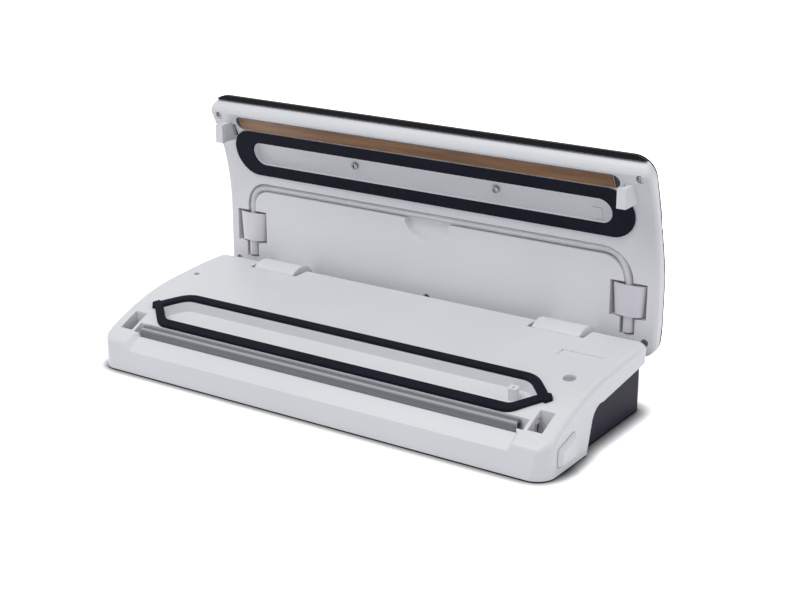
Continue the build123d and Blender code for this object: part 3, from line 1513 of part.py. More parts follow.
# Control board on its four posts, with its larger components
board_top = pcb_height + seat_gap + board_thick
pcb_rear = pcb_front + pcb_depth
pcb_right = pcb_left + pcb_width
with BuildPart() as control_board:
    box_between((pcb_left, pcb_front, pcb_height + seat_gap), (pcb_right, pcb_rear, board_top))
    for x, depth in pcb_spots:
        upright(x, depth, 0, pcb_screw + 2 * screw_play, ceiling, Mode.SUBTRACT)
save(control_board, "control_board")

with BuildPart() as board_screws:
    for x, depth in pcb_spots:
        upright(x, depth, board_top + seat_gap, pcb_screw_head, screw_head_tall)
        upright(x, depth, floor_top + plug_wall, pcb_screw - 2 * screw_thread, board_top - floor_top)
save(board_screws, "board_screws")

with BuildPart() as board_capacitors:
    for row in (1, 2):
        upright(pcb_left + pcb_hole + capacitor_diameter, pcb_front + row * 1.4 * capacitor_diameter,
                board_top + seat_gap, capacitor_diameter, capacitor_tall)
save(board_capacitors, "board_capacitors")

with BuildPart() as board_relay:
    relay_left = pcb_right - 2 * pcb_hole - relay_length
    box_between((relay_left, pcb_rear - 2 * pcb_hole - relay_width, board_top + seat_gap),
                (relay_left + relay_length, pcb_rear - 2 * pcb_hole, board_top + relay_tall))
save(board_relay, "board_relay")

with BuildPart() as board_connector:
    plug_left = pcb_right - 2 * pcb_hole - plug_length
    box_between((plug_left, pcb_front + plug_wall, board_top + seat_gap),
                (plug_left + plug_length, pcb_front + plug_wall + plug_width, board_top + plug_tall))
    box_between((plug_left + plug_wall, pcb_front, board_top + plug_floor),
                (plug_left + plug_length - plug_wall, pcb_front + plug_width - plug_wall,
                board_top + plug_tall - plug_wall), Mode.SUBTRACT)
save(board_connector, "board_connector")

# Transformer: laminated core with two windows, coil round its middle limb, strap and screws
core_top = core_bottom + core_tall
core_middle = core_left + core_width / 2
with BuildPart() as transformer_core:
    box_between((core_left, core_front, core_bottom), (core_right, core_rear, core_top))
    for s in sides:
        box_between((core_middle + s * core_limb, core_front - wall, core_bottom + core_limb),
                    (core_middle + s * (core_width / 2 - core_limb), core_rear + wall,
                     core_top - core_limb),
                    Mode.SUBTRACT)
save(transformer_core, "transformer_core")

with BuildPart() as transformer_coil:
    coil_half = core_width / 2 - core_limb - coil_margin
    bobbin_half = core_limb + coil_margin
    box_between((core_middle - coil_half, core_front - coil_overhang,
                 core_bottom + core_limb + coil_margin),
                (core_middle + coil_half, core_rear + coil_overhang, core_top - core_limb - coil_margin))
    fillet(transformer_coil.edges().filter_by(Axis.Z), core_limb / 2)
    box_between((core_middle - bobbin_half, core_front - coil_margin, 0),
                (core_middle + bobbin_half, core_rear + coil_margin, ceiling), Mode.SUBTRACT)
save(transformer_coil, "transformer_coil")

with BuildPart() as transformer_strap:
    strap_left = core_left - seat_gap
    strap_right = core_right + seat_gap
    strap_front = core_front + core_limb / 2
    strap_back = core_rear - core_limb / 2
    box_between((strap_left - strap_thick, strap_front, core_top + seat_gap),
                (strap_right + strap_thick, strap_back, core_top + seat_gap + strap_thick))
    for x, out in ((strap_left, -1), (strap_right, 1)):
        box_between((x, strap_front, core_bottom),
                    (x + out * strap_thick, strap_back, core_top + strap_thick))
        box_between((x, strap_front, core_bottom),
                    (x + out * strap_foot, strap_back, core_bottom + strap_thick))
    for x, depth in strap_spots:
        upright(x, depth, 0, screw_diameter + 2 * screw_play, core_bottom + 2 * strap_thick, Mode.SUBTRACT)
save(transformer_strap, "transformer_strap")

with BuildPart() as transformer_screws:
    for x, depth in strap_spots:
        upright(x, depth, core_bottom + strap_thick + seat_gap, screw_head, screw_head_tall)
        upright(x, depth, floor_top, screw_diameter - 2 * screw_thread,
                pad_rise + strap_thick + 2 * seat_gap)
save(transformer_screws, "transformer_screws")
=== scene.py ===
import math

import bmesh
import bpy
import numpy as np
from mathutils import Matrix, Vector


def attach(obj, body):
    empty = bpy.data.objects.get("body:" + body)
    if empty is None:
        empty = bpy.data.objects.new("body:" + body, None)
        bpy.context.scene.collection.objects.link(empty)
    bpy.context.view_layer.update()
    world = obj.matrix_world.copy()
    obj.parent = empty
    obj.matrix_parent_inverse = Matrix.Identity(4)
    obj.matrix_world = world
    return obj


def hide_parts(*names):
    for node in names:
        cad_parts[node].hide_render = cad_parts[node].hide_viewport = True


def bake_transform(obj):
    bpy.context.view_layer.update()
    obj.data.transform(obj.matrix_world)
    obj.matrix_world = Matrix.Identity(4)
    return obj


# Vacuum sealer with its lid standing open: looks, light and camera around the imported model.
# Lengths below are millimetres. Depths run backwards from the front edge of the base.

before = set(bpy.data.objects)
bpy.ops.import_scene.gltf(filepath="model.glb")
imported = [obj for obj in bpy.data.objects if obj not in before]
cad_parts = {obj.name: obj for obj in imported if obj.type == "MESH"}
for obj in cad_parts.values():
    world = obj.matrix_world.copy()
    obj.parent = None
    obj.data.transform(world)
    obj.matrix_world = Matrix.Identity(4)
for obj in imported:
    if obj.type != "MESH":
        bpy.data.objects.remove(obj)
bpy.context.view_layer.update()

MM = 0.001
ORIGIN_DEPTH = 88.0
SEAT = 0.05
ARC_POINTS = 24

# Camera of the photograph, in metres, with its lens and sensor in millimetres
CAMERA_AT = (0.64315, -0.92535, 0.44855)
CAMERA_TO = (0.02937, -0.008, 0.07340)
CAMERA_LENS, CAMERA_SENSOR = 72.555, 36.0

# Floor and lamps, in metres and watts
FLOOR_HALF = 6.0
FLOOR_MATT = (0.70, 0.70, 0.72, 1)
# Reach and steepness of the painted contact shadow on the floor, then the floor's white for the camera
PAINTED_SHADOW_REACH, PAINTED_SHADOW_POWER, FLOOR_WHITE = 0.014, 3.4, 2.6
SKY_COLOUR, SKY_FILL = (0.97, 0.985, 1.0, 1), 0.49
LAMPS = (("overhead", 1.3, 16.8, (-0.40, -0.88, 1.90)),
         ("side_fill", 1.2, 6.0, (2.0, 0.25, 0.9)))

# Deck of the base, as three points on the one arc of its slope
DECK_SLOPE = ((1.5, 23.0), (40.0, 40.5), (92.0, 50.5))

# Foam ring round the vacuum trough
RING_FRONT, RING_REAR = 25.4, 58.6
RING_SIDE, RING_TIP = 152.9, 170.4
REAR_ROUND, FRONT_ROUND, TIP_ROUND = 18.0, 12.0, 4.0
RING_BAND, RING_TALL = 6.4, 2.8
TAIL_ROOT, TAIL_SHOULDER, TAIL_END = 166.4, 173.4, 176.4
TAIL_WIDE, TAIL_BLUNT, TAIL_LOWER = 8.4, 0.4, 0.97
RING_POINTS, FOAM_STEPS, FOAM_SQUARE = 640, 40, 0.35
TAIL_ROWS, POINT_ROWS = 14, 8

# Pressing strip
STRIP_HALF = 164.7
STRIP_SECTION = ((13.4, 25.65), (22.0, 25.65), (22.0, 31.8), (18.3, 34.0), (15.1, 32.4), (13.4, 30.0))
STRIP_FOOT, STRIP_ROUND = 0.3, 0.8
STRIP_END_ROUND, STRIP_PINCH = 0.5, 0.09
# Depth of the strip's front shoulder, along which a painted highlight runs
SHOULDER_DEPTH = 15.2
BORE_MIDDLE = (18.0, 29.2)
BORE_WIDE, BORE_TALL, BORE_ROUND = 4.2, 4.0, 1.0
STRIP_LOOP, BORE_LOOP, STRIP_POINTS = 900, 600, 160
STRIP_ROWS, BORE_ROWS, END_ROWS = 80, 60, 6
STRIP_CREASE = 50.0

# Inner face of the lid
FACE_DEPTH, FACE_STRAIGHT, FACE_BOW = 161.0, 92.0, 165.0
CHANNEL_DEEP = 4.6

# Lid gasket
GASKET_HEIGHT = 142.6
GASKET_HALF, GASKET_RADIUS = 178.0, 19.25
HOLE_HALF, HOLE_RADIUS = 160.5, 9.65
GASKET_PROUD, GASKET_CROWN = 1.6, 0.08
OVAL_RUNS, OVAL_TURNS = 90, 48
OVAL_STEPS, OVAL_SQUARE = 44, 0.22

# Accessory hose: the points of its route across the lid, then its wall
HOSE_DEPTH = 163.8
HOSE_ROUTE = ((-171.5, 74.5), (-171.5, 79.5), (-170.9, 111.4), (-137.5, 112.0),
              (127.5, 112.0), (172.2, 112.7), (171.5, 74.5))
HOSE_RADIUS, HOSE_BORE = 3.0, 1.8
HOSE_STEPS, HOSE_SIDES = 24, 28

# Screws: heads, cross recess and thread, then where they sit and each kind's head height and length
HEAD_RADIUS = 2.75
HEAD_CROWN, HEAD_SHOULDER, HEAD_UNDER = 0.3, 0.6, 0.7
CROSS_ARM, CROSS_LONG, CROSS_EDGE, CROSS_DEEP = 0.62, 1.85, 0.3, 0.55
SHANK_RADIUS = 1.45
THREAD_PITCH, THREAD_ROOT, THREAD_END = 1.1, 0.8, 1.2
TIP_SHARE, TIP_TALL = 0.6, 0.4
SCREW_SIDES, HEAD_ROWS, THREAD_ROWS = 56, 22, 60
LID_SCREWS = ((-185.8, 172.5), (185.8, 172.5), (-185.8, 47.2), (185.8, 47.2), (0.0, 46.8))
LID_SINK, LID_HEAD, LID_LONG = 1.35, 1.2, 7.65
CHANNEL_SCREWS = ((-63.4, 144.5), (63.4, 144.5))
CHANNEL_HEAD, CHANNEL_LONG = 2.4, 4.9
HOUSING_SCREWS = ((-150.0, 10.0), (0.0, 10.0), (150.0, 10.0), (-178.0, 112.0), (178.0, 112.0),
                  (-66.0, 138.0), (66.0, 138.0))
HOUSING_BOTTOM, HOUSING_HEAD, HOUSING_LONG = 1.4, 1.5, 9.3

# Leaf springs: ends at the rib and at the button, then the V they make in plan
LEAF_ENDS = (181.35, 188.95)
LEAF_FRONT, LEAF_APEX, LEAF_BLUNT = 36.1, 41.7, 0.2
LEAF_THICK, LEAF_ROWS = 0.5, 61
LEAF_HEIGHTS = (9.0, 17.0)


def face_depth(height):
    """Depth of the lid's inner face: flat up to the bend, then a circle's arc that leans to the front."""
    rise = np.maximum(height - FACE_STRAIGHT, 0.0)
    return FACE_DEPTH - FACE_BOW + np.sqrt(FACE_BOW ** 2 - rise ** 2)


def deck_height(depth):
    """Height of the sloped deck: the upper branch of the circle through its three points."""
    points = np.array(DECK_SLOPE)
    rows = 2.0 * (points[1:] - points[0])
    middle = np.linalg.solve(rows, (points[1:] ** 2).sum(1) - (points[0] ** 2).sum())
    radius = np.hypot(*(points[0] - middle))
    return middle[1] + np.sqrt(radius ** 2 - (depth - middle[0]) ** 2)


def smooth_step(value):
    """Zero below 0, one above 1, and an even S between them."""
    t = np.clip(value, 0.0, 1.0)
    return t * t * (3.0 - 2.0 * t)


def rounded_loop(corners, radius, count):
    """Closed outline with each corner cut by a circle that touches both its sides, as count points spread
    evenly along its length. Corners run anticlockwise."""
    corner = np.array(corners, float)
    ahead = np.roll(corner, -1, 0) - corner
    ahead /= np.linalg.norm(ahead, axis=1)[:, None]
    behind = np.roll(ahead, 1, 0)
    turn = np.arctan2(behind[:, 0] * ahead[:, 1] - behind[:, 1] * ahead[:, 0], (behind * ahead).sum(1))
    size = np.broadcast_to(np.asarray(radius, float), turn.shape)
    start = corner - behind * (size * np.tan(turn / 2))[:, None]
    inward = np.stack([-behind[:, 1], behind[:, 0]], 1)
    angle = turn[:, None] * np.linspace(0, 1, ARC_POINTS)
    arc = (start[:, None] + behind[:, None] * (size[:, None] * np.sin(angle))[..., None]
           + inward[:, None] * (size[:, None] * (1 - np.cos(angle)))[..., None]).reshape(-1, 2)
    arc = np.vstack([arc, arc[:1]])
    run = np.concatenate([[0], np.cumsum(np.hypot(*np.diff(arc, axis=0).T))])
    at = np.linspace(0, run[-1], count, endpoint=False)
    return np.stack([np.interp(at, run, arc[:, 0]), np.interp(at, run, arc[:, 1])], 1)


def in_place(x, depth, height):
    """Points from widths, depths and heights that broadcast together."""
    return np.stack(np.broadcast_arrays(x, depth - ORIGIN_DEPTH, height), -1)


def closed_by_poles(rows):
    """Grid with a pole added at each end, in the middle of its first and last rows."""
    ends = rows[[0, -1]].mean(1, keepdims=True)
    first, last = np.repeat(ends, rows.shape[1], 1)
    return np.concatenate([first[None], rows, last[None]])


def make_piece(name, shells, finish, body, stands_for, crease=40.0):
    """Mesh piece from shells, each a grid of points whose columns close on themselves. A shell's rows close
    too, or else start and end in poles. Neighbouring points make quads, and a shell with a negative volume
    is turned so that its faces point outwards. Without a body the piece is not attached to one."""
    points, quads, used = [], [], 0
    for grid, rows_close in shells:
        rows, columns = grid.shape[:2]
        index = np.arange(rows * columns).reshape(rows, columns)
        index = np.hstack([index, index[:, :1]])
        if rows_close:
            index = np.vstack([index, index[:1]])
        quad = np.stack([index[:-1, :-1], index[1:, :-1], index[1:, 1:], index[:-1, 1:]], -1).reshape(-1, 4)
        flat = grid.reshape(-1, 3)
        a, b, c, d = flat[quad].transpose(1, 0, 2)
        volume = (a * (np.cross(b, c) + np.cross(c, d))).sum()
        points.append(flat * MM)
        quads.append((quad if volume > 0 else quad[:, ::-1]) + used)
        used += len(flat)
    mesh = bpy.data.meshes.new(name)
    mesh.from_pydata(np.vstack(points), [], np.vstack(quads).tolist())
    merge_poles(mesh)
    mesh.shade_smooth()
    mesh.set_sharp_from_angle(angle=math.radians(crease))
    mesh.materials.append(finish)
    piece = bpy.data.objects.new(name, mesh)
    bpy.context.scene.collection.objects.link(piece)
    if body:
        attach(piece, body)
    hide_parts(stands_for)
    return piece


def merge_poles(mesh):
    """Joins the points of a row that has shrunk to a pole."""
    work = bmesh.new()
    work.from_mesh(mesh)
    bmesh.ops.remove_doubles(work, verts=work.verts, dist=1e-7)
    work.to_mesh(mesh)
    work.free()


# Finishes


def add(tree, kind, links=None, values=None, **settings):
    """Node of a kind, with its settings, its plain values and the sockets that feed it."""
    made = tree.nodes.new("ShaderNode" + kind)
    for key, value in settings.items():
        setattr(made, key, value)
    for key, value in (values or {}).items():
        made.inputs[key].default_value = value
    for key, socket in (links or {}).items():
        tree.links.new(socket, made.inputs[key])
    return made


def start_finish(name, **values):
    """Material with one plain shader. Gives the material, its tree, the shader and the object's
    coordinates."""
    material = bpy.data.materials.new(name)
    material.use_nodes = True
    tree = material.node_tree
    shader = tree.nodes["Principled BSDF"]
    for key, value in values.items():
        shader.inputs[key.replace("_", " ")].default_value = value
    place = tree.nodes.new("ShaderNodeTexCoord").outputs["Object"]
    return material, tree, shader, place


def stretched(tree, place, scale):
    """Coordinates scaled along each axis, in repeats per metre."""
    return add(tree, "Mapping", {"Vector": place}, {"Scale": scale}).outputs["Vector"]


def cloud(tree, place, scale, detail=3.0, rough=0.5):
    """Soft noise of a scale, per metre."""
    return add(tree, "TexNoise", {"Vector": place},
               {"Scale": scale, "Detail": detail, "Roughness": rough}).outputs["Fac"]


def ranged(tree, value, low, high, from_low=0.0, from_high=1.0):
    """Value moved from one range to another."""
    return add(tree, "MapRange", {"Value": value},
               {"From Min": from_low, "From Max": from_high,
                "To Min": low, "To Max": high}).outputs["Result"]


def blended(tree, share, first, second):
    """Colour between two colours."""
    mix = add(tree, "Mix", data_type="RGBA")
    tree.links.new(share, mix.inputs[0])
    for socket, colour in ((mix.inputs[6], first), (mix.inputs[7], second)):
        if isinstance(colour, tuple):
            socket.default_value = (*colour, 1.0)
        else:
            tree.links.new(colour, socket)
    return mix.outputs[2]


def lifted(tree, shader, height, depth, strength, normal=None):
    """Bump of a depth, in metres, laid over the surface or over another normal."""
    links = {"Height": height}
    if normal is not None:
        links["Normal"] = normal
    bump = add(tree, "Bump", links, {"Strength": strength, "Distance": depth})
    tree.links.new(bump.outputs["Normal"], shader.inputs["Normal"])


def moulded(name, colour, shade, rough, grain, depth, edge, **values):
    """Moulded plastic: the colour drifts slowly to a shade, as the melt flowed, a fine grain of the
    given size lifts the skin and breaks up its gloss, and arrises are softened by the edge radius."""
    material, tree, shader, place = start_finish(name, **values)
    drift = ranged(tree, cloud(tree, place, 14.0, 2.0), 0.0, 1.0, 0.35, 0.65)
    tree.links.new(blended(tree, drift, colour, shade), shader.inputs["Base Color"])
    skin = cloud(tree, place, 1.0 / grain, 4.0, 0.6)
    tree.links.new(ranged(tree, skin, rough - 0.07, rough + 0.07, 0.3, 0.7), shader.inputs["Roughness"])
    soft = add(tree, "Bevel", values={"Radius": edge}, samples=4).outputs["Normal"] if edge else None
    lifted(tree, shader, skin, depth, 0.5, soft)
    return material


def cut_foam(name):
    """Closed-cell foam: tiny cells of uneven size with painted shade in their hollows, and a dull skin."""
    material, tree, shader, place = start_finish(name, Roughness=0.8, Specular_IOR_Level=0.1)
    cells = add(tree, "TexVoronoi", {"Vector": place},
                {"Scale": 1500.0, "Randomness": 1.0}).outputs["Distance"]
    worn = ranged(tree, cloud(tree, place, 60.0, 4.0), 0.0, 1.0, 0.3, 0.7)
    skin = blended(tree, worn, (0.0095, 0.0105, 0.0190), (0.0150, 0.0160, 0.0275))
    # Painted shade: each cell darkens towards its hollow.
    hollow = ranged(tree, cells, 0.0, 0.5, 0.2, 0.9)
    tree.links.new(blended(tree, hollow, skin, (0.004, 0.004, 0.008)), shader.inputs["Base Color"])
    lifted(tree, shader, cells, 0.00025, 0.6)
    return material


def extruded_rubber(name):
    """Extruded silicone: faint streaks along its length from the die, a dusty bloom in patches, and a paler
    line along the front shoulder that is a painted highlight."""
    material, tree, shader, place = start_finish(name, Specular_IOR_Level=0.35)
    streak = cloud(tree, stretched(tree, place, (6.0, 900.0, 900.0)), 1.0, 3.0)
    bloom = ranged(tree, cloud(tree, place, 45.0, 5.0), 0.0, 1.0, 0.35, 0.75)
    body = blended(tree, ranged(tree, streak, 0.0, 1.0, 0.3, 0.7),
                   (0.135, 0.141, 0.166), (0.170, 0.177, 0.202))
    dusty = blended(tree, ranged(tree, bloom, 0.0, 0.3), body, (0.19, 0.19, 0.21))
    # Painted highlight: a paler band along the front shoulder, full within 0.2 mm of it and gone by 1.1 mm.
    depth = add(tree, "SeparateXYZ", {"Vector": place}).outputs["Y"]
    aside = add(tree, "Math", {0: depth}, {1: (SHOULDER_DEPTH - ORIGIN_DEPTH) * MM},
                operation="SUBTRACT").outputs["Value"]
    away = add(tree, "Math", {0: aside}, operation="ABSOLUTE").outputs["Value"]
    shoulder_highlight = ranged(tree, away, 0.9, 0.0, 0.0002, 0.0011)
    tree.links.new(blended(tree, shoulder_highlight, dusty, (0.50, 0.50, 0.52)), shader.inputs["Base Color"])
    tree.links.new(ranged(tree, bloom, 0.38, 0.58), shader.inputs["Roughness"])
    lifted(tree, shader, streak, 0.0001, 0.4)
    return material


def coated_cloth(name):
    """Brown coated glass cloth: crossing threads in fine waves, and tan streaks where heat has toned the
    coating."""
    material, tree, shader, place = start_finish(name, Specular_IOR_Level=0.35)
    threads = {"Scale": 90.0, "Distortion": 0.4, "Detail": 1.0}
    warp, weft = (add(tree, "TexWave", {"Vector": place}, threads, bands_direction=way).outputs["Fac"]
                  for way in "XZ")
    weave = add(tree, "Math", {0: warp, 1: weft}, operation="MULTIPLY").outputs["Value"]
    tone = cloud(tree, stretched(tree, place, (16.0, 120.0, 260.0)), 1.0, 5.0, 0.6)
    tan = blended(tree, ranged(tree, tone, 0.0, 1.0, 0.32, 0.68),
                  (0.150, 0.064, 0.027), (0.285, 0.145, 0.067))
    woven = blended(tree, ranged(tree, weave, 0.0, 0.12), tan, (0.34, 0.19, 0.10))
    tree.links.new(woven, shader.inputs["Base Color"])
    tree.links.new(ranged(tree, tone, 0.34, 0.52), shader.inputs["Roughness"])
    lifted(tree, shader, weave, 0.0001, 0.15)
    return material


def clear_tube(name):
    """Clear soft tube: thin milky wall, with a faint ripple from the die along its length."""
    material, tree, shader, place = start_finish(name, Alpha=0.56, Specular_IOR_Level=0.6)
    ripple = cloud(tree, place, 220.0, 3.0)
    milk = blended(tree, ripple, (0.93, 0.94, 0.97), (0.98, 0.985, 0.99))
    tree.links.new(milk, shader.inputs["Base Color"])
    tree.links.new(ranged(tree, ripple, 0.18, 0.32), shader.inputs["Roughness"])
    lifted(tree, shader, ripple, 0.0002, 0.25)
    return material


def plated_steel(name, colour, shade):
    """Zinc-plated steel: a fine brushed grain and dull patches in the plating."""
    material, tree, shader, place = start_finish(name, Metallic=1.0)
    patch = ranged(tree, cloud(tree, place, 500.0, 4.0), 0.0, 1.0, 0.3, 0.7)
    brush = cloud(tree, stretched(tree, place, (300.0, 6000.0, 6000.0)), 1.0, 2.0)
    tree.links.new(blended(tree, patch, colour, shade), shader.inputs["Base Color"])
    tree.links.new(ranged(tree, patch, 0.25, 0.45), shader.inputs["Roughness"])
    lifted(tree, shader, brush, 0.00003, 0.3)
    return material


def wound_wire(name):
    """Enamelled copper winding: turns of fine wire side by side, with painted shade between the turns and a
    painted highlight along each.
    """
    material, tree, shader, place = start_finish(name, Metallic=0.9, Roughness=0.3)
    turns = add(tree, "TexWave", {"Vector": place}, {"Scale": 60.0, "Distortion": 0.2},
                bands_direction="X").outputs["Fac"]
    # Painted shade and highlight: the copper darkens between the turns and brightens along them.
    tree.links.new(blended(tree, turns, (0.34, 0.13, 0.06), (0.72, 0.36, 0.19)), shader.inputs["Base Color"])
    lifted(tree, shader, turns, 0.0004, 0.8)
    return material


def board_mask(name):
    """Circuit board: green mask with paler traces in a square pattern."""
    material, tree, shader, place = start_finish(name, Roughness=0.35)
    trace = add(tree, "TexBrick", {"Vector": stretched(tree, place, (160.0, 160.0, 160.0))},
                {"Scale": 1.0, "Mortar Size": 0.06, "Color1": (0.012, 0.10, 0.045, 1),
                 "Color2": (0.016, 0.12, 0.05, 1), "Mortar": (0.05, 0.24, 0.11, 1)})
    tree.links.new(trace.outputs["Color"], shader.inputs["Base Color"])
    lifted(tree, shader, trace.outputs["Fac"], 0.00005, 0.5)
    return material


def lamp_glow(name):
    """Diffusing lamp lens: milky green with a cloudy depth."""
    material, tree, shader, place = start_finish(name, Transmission_Weight=0.5, IOR=1.49)
    milk = cloud(tree, place, 700.0, 3.0)
    tree.links.new(blended(tree, milk, (0.55, 0.74, 0.58), (0.72, 0.86, 0.72)), shader.inputs["Base Color"])
    tree.links.new(ranged(tree, milk, 0.25, 0.4), shader.inputs["Roughness"])
    return material


white_shell = moulded("white_shell", (0.775, 0.785, 0.815), (0.805, 0.813, 0.842),
                      rough=0.38, grain=0.0006, depth=0.00002, edge=0.0005)
charcoal_shell = moulded("charcoal_shell", (0.019, 0.017, 0.030), (0.023, 0.021, 0.035),
                         rough=0.55, grain=0.0007, depth=0.00004, edge=0.0005,
                         Specular_IOR_Level=0.1)
black_lid = moulded("black_lid", (0.0040, 0.0042, 0.0068), (0.0058, 0.0061, 0.0092),
                    rough=0.40, grain=0.0006, depth=0.00002, edge=0.0005,
                    Specular_IOR_Level=0.08)
pale_fitting = moulded("pale_fitting", (0.700, 0.670, 0.735), (0.745, 0.720, 0.775),
                       rough=0.24, grain=0.0005, depth=0.00002, edge=0.0004)
grey_key = moulded("grey_key", (0.330, 0.330, 0.350), (0.380, 0.380, 0.400),
                   rough=0.42, grain=0.0004, depth=0.00002, edge=0.0003)
black_inner = moulded("black_inner", (0.017, 0.017, 0.018), (0.024, 0.024, 0.026),
                      rough=0.50, grain=0.0005, depth=0.00003, edge=0.0)
foot_rubber = moulded("foot_rubber", (0.024, 0.024, 0.025), (0.036, 0.036, 0.036),
                      rough=0.72, grain=0.0004, depth=0.00006, edge=0.0003)
gasket_foam = cut_foam("gasket_foam")
strip_rubber = extruded_rubber("strip_rubber")
seal_tape = coated_cloth("seal_tape")
hose_clear = clear_tube("hose_clear")
screw_steel = plated_steel("screw_steel", (0.42, 0.42, 0.43), (0.58, 0.58, 0.60))
# A darker copy of the screw steel for the screws sunk in pockets: painted shade.
painted_shade_steel = plated_steel("painted_shade_steel", (0.22, 0.22, 0.23), (0.34, 0.34, 0.35))
coil_copper = wound_wire("coil_copper")
board_green = board_mask("board_green")
lens_green = lamp_glow("lens_green")

FINISHES = {
    white_shell: ("top_cover", "lid_panel", "release_button_left", "release_button_right",
                  "intake_port", "channel_port"),
    charcoal_shell: ("lower_housing",),
    black_lid: ("lid_cover", "control_bezel"),
    gasket_foam: ("base_gasket", "lid_gasket"),
    strip_rubber: ("seal_strip",),
    seal_tape: ("heat_strip",),
    hose_clear: ("accessory_hose", "intake_hose_left", "intake_hose_right"),
    pale_fitting: ("hose_connector_left", "hose_connector_right", "hose_tee",
                   "latch_catch_left", "latch_catch_right", "heat_bar"),
    grey_key: ("canister_button", "start_button", "seal_button", "pump_cylinder", "pump_bracket"),
    black_inner: ("cord_gland", "canister_switch", "lid_switches", "motor_cap", "crank", "connecting_rod",
                  "release_valve", "board_capacitors", "board_relay", "board_connector", "button_switches",
                  "strip_terminals"),
    foot_rubber: ("rubber_feet", "piston_cup"),
    screw_steel: ("housing_screws", "hinge_pins", "latch_spring_left", "latch_spring_right", "pump_motor",
                  "pump_screws", "board_screws", "transformer_core", "transformer_screws",
                  "transformer_strap", "heat_element"),
    painted_shade_steel: ("lid_screws", "channel_screws"),
    coil_copper: ("transformer_coil",),
    board_green: ("control_board", "button_board"),
    lens_green: ("indicator_lenses",),
}
for finish, nodes in FINISHES.items():
    for name in nodes:
        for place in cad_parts[name].material_slots:
            place.material = finish


# Accessory hose


def hose_middle_line():
    """Points along the smooth line that the route's points pull on, at the hose's depth."""
    curve = bpy.data.curves.new("hose_line", "CURVE")
    curve.dimensions = "3D"
    curve.resolution_u = HOSE_STEPS
    spline = curve.splines.new("NURBS")
    spline.points.add(len(HOSE_ROUTE) - 1)
    route = np.array(HOSE_ROUTE)
    points = in_place(route[:, 0], HOSE_DEPTH, route[:, 1])
    spline.points.foreach_set("co", np.hstack([points * MM, np.ones((len(points), 1))]).ravel())
    spline.order_u = 3
    spline.use_endpoint_u = True
    holder = bpy.data.objects.new("hose_line", curve)
    line = bpy.data.meshes.new_from_object(holder)
    found = np.empty(len(line.vertices) * 3)
    line.vertices.foreach_get("co", found)
    bpy.data.objects.remove(holder)
    bpy.data.curves.remove(curve)
    bpy.data.meshes.remove(line)
    return found.reshape(-1, 3) / MM


def tube_shell(line, radius, bore):
    """Hollow tube along a line in a plane of one depth: circles across the line, the outer wall one way
    and the bore back, so that the two ends close as rings."""
    along = np.gradient(line, axis=0)
    along /= np.linalg.norm(along, axis=1)[:, None]
    backward = np.array([0.0, 1.0, 0.0])
    across = np.cross(along, backward)
    angle = np.linspace(0, 2 * np.pi, HOSE_SIDES, endpoint=False)
    ring = np.cos(angle)[None, :, None] * across[:, None] + np.sin(angle)[None, :, None] * backward
    return np.vstack([line[:, None] + radius * ring, (line[:, None] + bore * ring)[::-1]])


hose_line = hose_middle_line()
accessory_hose = make_piece("clear_accessory_hose", [(tube_shell(hose_line, HOSE_RADIUS, HOSE_BORE), True)],
                            hose_clear, "lid", "accessory_hose")


# Foam gaskets


def cut_section(steps, sharp):
    """Closed section of cut foam, from -1 to 1 across and 0 to 1 high: a circle's points pushed out
    towards the corners of a square, so the edges are only a little rounded."""
    angle = np.linspace(0, 2 * np.pi, steps, endpoint=False)
    across, high = np.cos(angle), np.sin(angle)
    return (np.sign(across) * np.abs(across) ** sharp, 0.5 + 0.5 * np.sign(high) * np.abs(high) ** sharp)


def ring_shell():
    """Foam ring: its section carried round a six-sided outline with rounded corners, on the deck."""
    middle = (RING_FRONT + RING_REAR) / 2
    loop = rounded_loop(((RING_SIDE, RING_REAR), (-RING_SIDE, RING_REAR), (-RING_TIP, middle),
                         (-RING_SIDE, RING_FRONT), (RING_SIDE, RING_FRONT), (RING_TIP, middle)),
                        (REAR_ROUND, REAR_ROUND, TIP_ROUND, FRONT_ROUND, FRONT_ROUND, TIP_ROUND),
                        RING_POINTS)
    along = np.roll(loop, -1, 0) - np.roll(loop, 1, 0)
    along /= np.linalg.norm(along, axis=1)[:, None]
    outward = np.stack([along[:, 1], -along[:, 0]], 1)
    across, high = cut_section(FOAM_STEPS, FOAM_SQUARE)
    plan = loop[:, None] + outward[:, None] * (RING_BAND / 2 * across)[None, :, None]
    height = deck_height(plan[..., 1]) + SEAT + (RING_TALL - SEAT) * high
    return in_place(plan[..., 0], plan[..., 1], height)


def tail_shell(side):
    """Tail of the ring at one tip: rows of the same section that widen to a shoulder and close in a
    blunt point."""
    middle = (RING_FRONT + RING_REAR) / 2
    reach = np.concatenate([np.linspace(TAIL_ROOT, TAIL_SHOULDER, TAIL_ROWS),
                            np.linspace(TAIL_SHOULDER, TAIL_END, POINT_ROWS)[1:]])
    wide = np.interp(reach, (TAIL_ROOT, TAIL_SHOULDER, TAIL_END),
                     (RING_BAND / 2, TAIL_WIDE / 2, TAIL_BLUNT))
    across, high = cut_section(FOAM_STEPS, FOAM_SQUARE)
    depth = middle + wide[:, None] * across
    height = deck_height(depth) + SEAT + (RING_TALL - SEAT) * TAIL_LOWER * high
    return closed_by_poles(in_place(side * reach[:, None], depth, height))


def stadium(half, radius, runs, turns):
    """Outline of a slot with round ends, as points: straight side, half turn, straight side, half turn."""
    straight = half - radius
    side = np.linspace(-1, 1, runs, endpoint=False) * straight
    turn = np.linspace(0, np.pi, turns, endpoint=False)
    x = np.concatenate([side, straight + radius * np.sin(turn), -side, -straight - radius * np.sin(turn)])
    z = np.concatenate([np.full(runs, -radius), -radius * np.cos(turn),
                        np.full(runs, radius), radius * np.cos(turn)])
    return np.stack([x, z], 1)


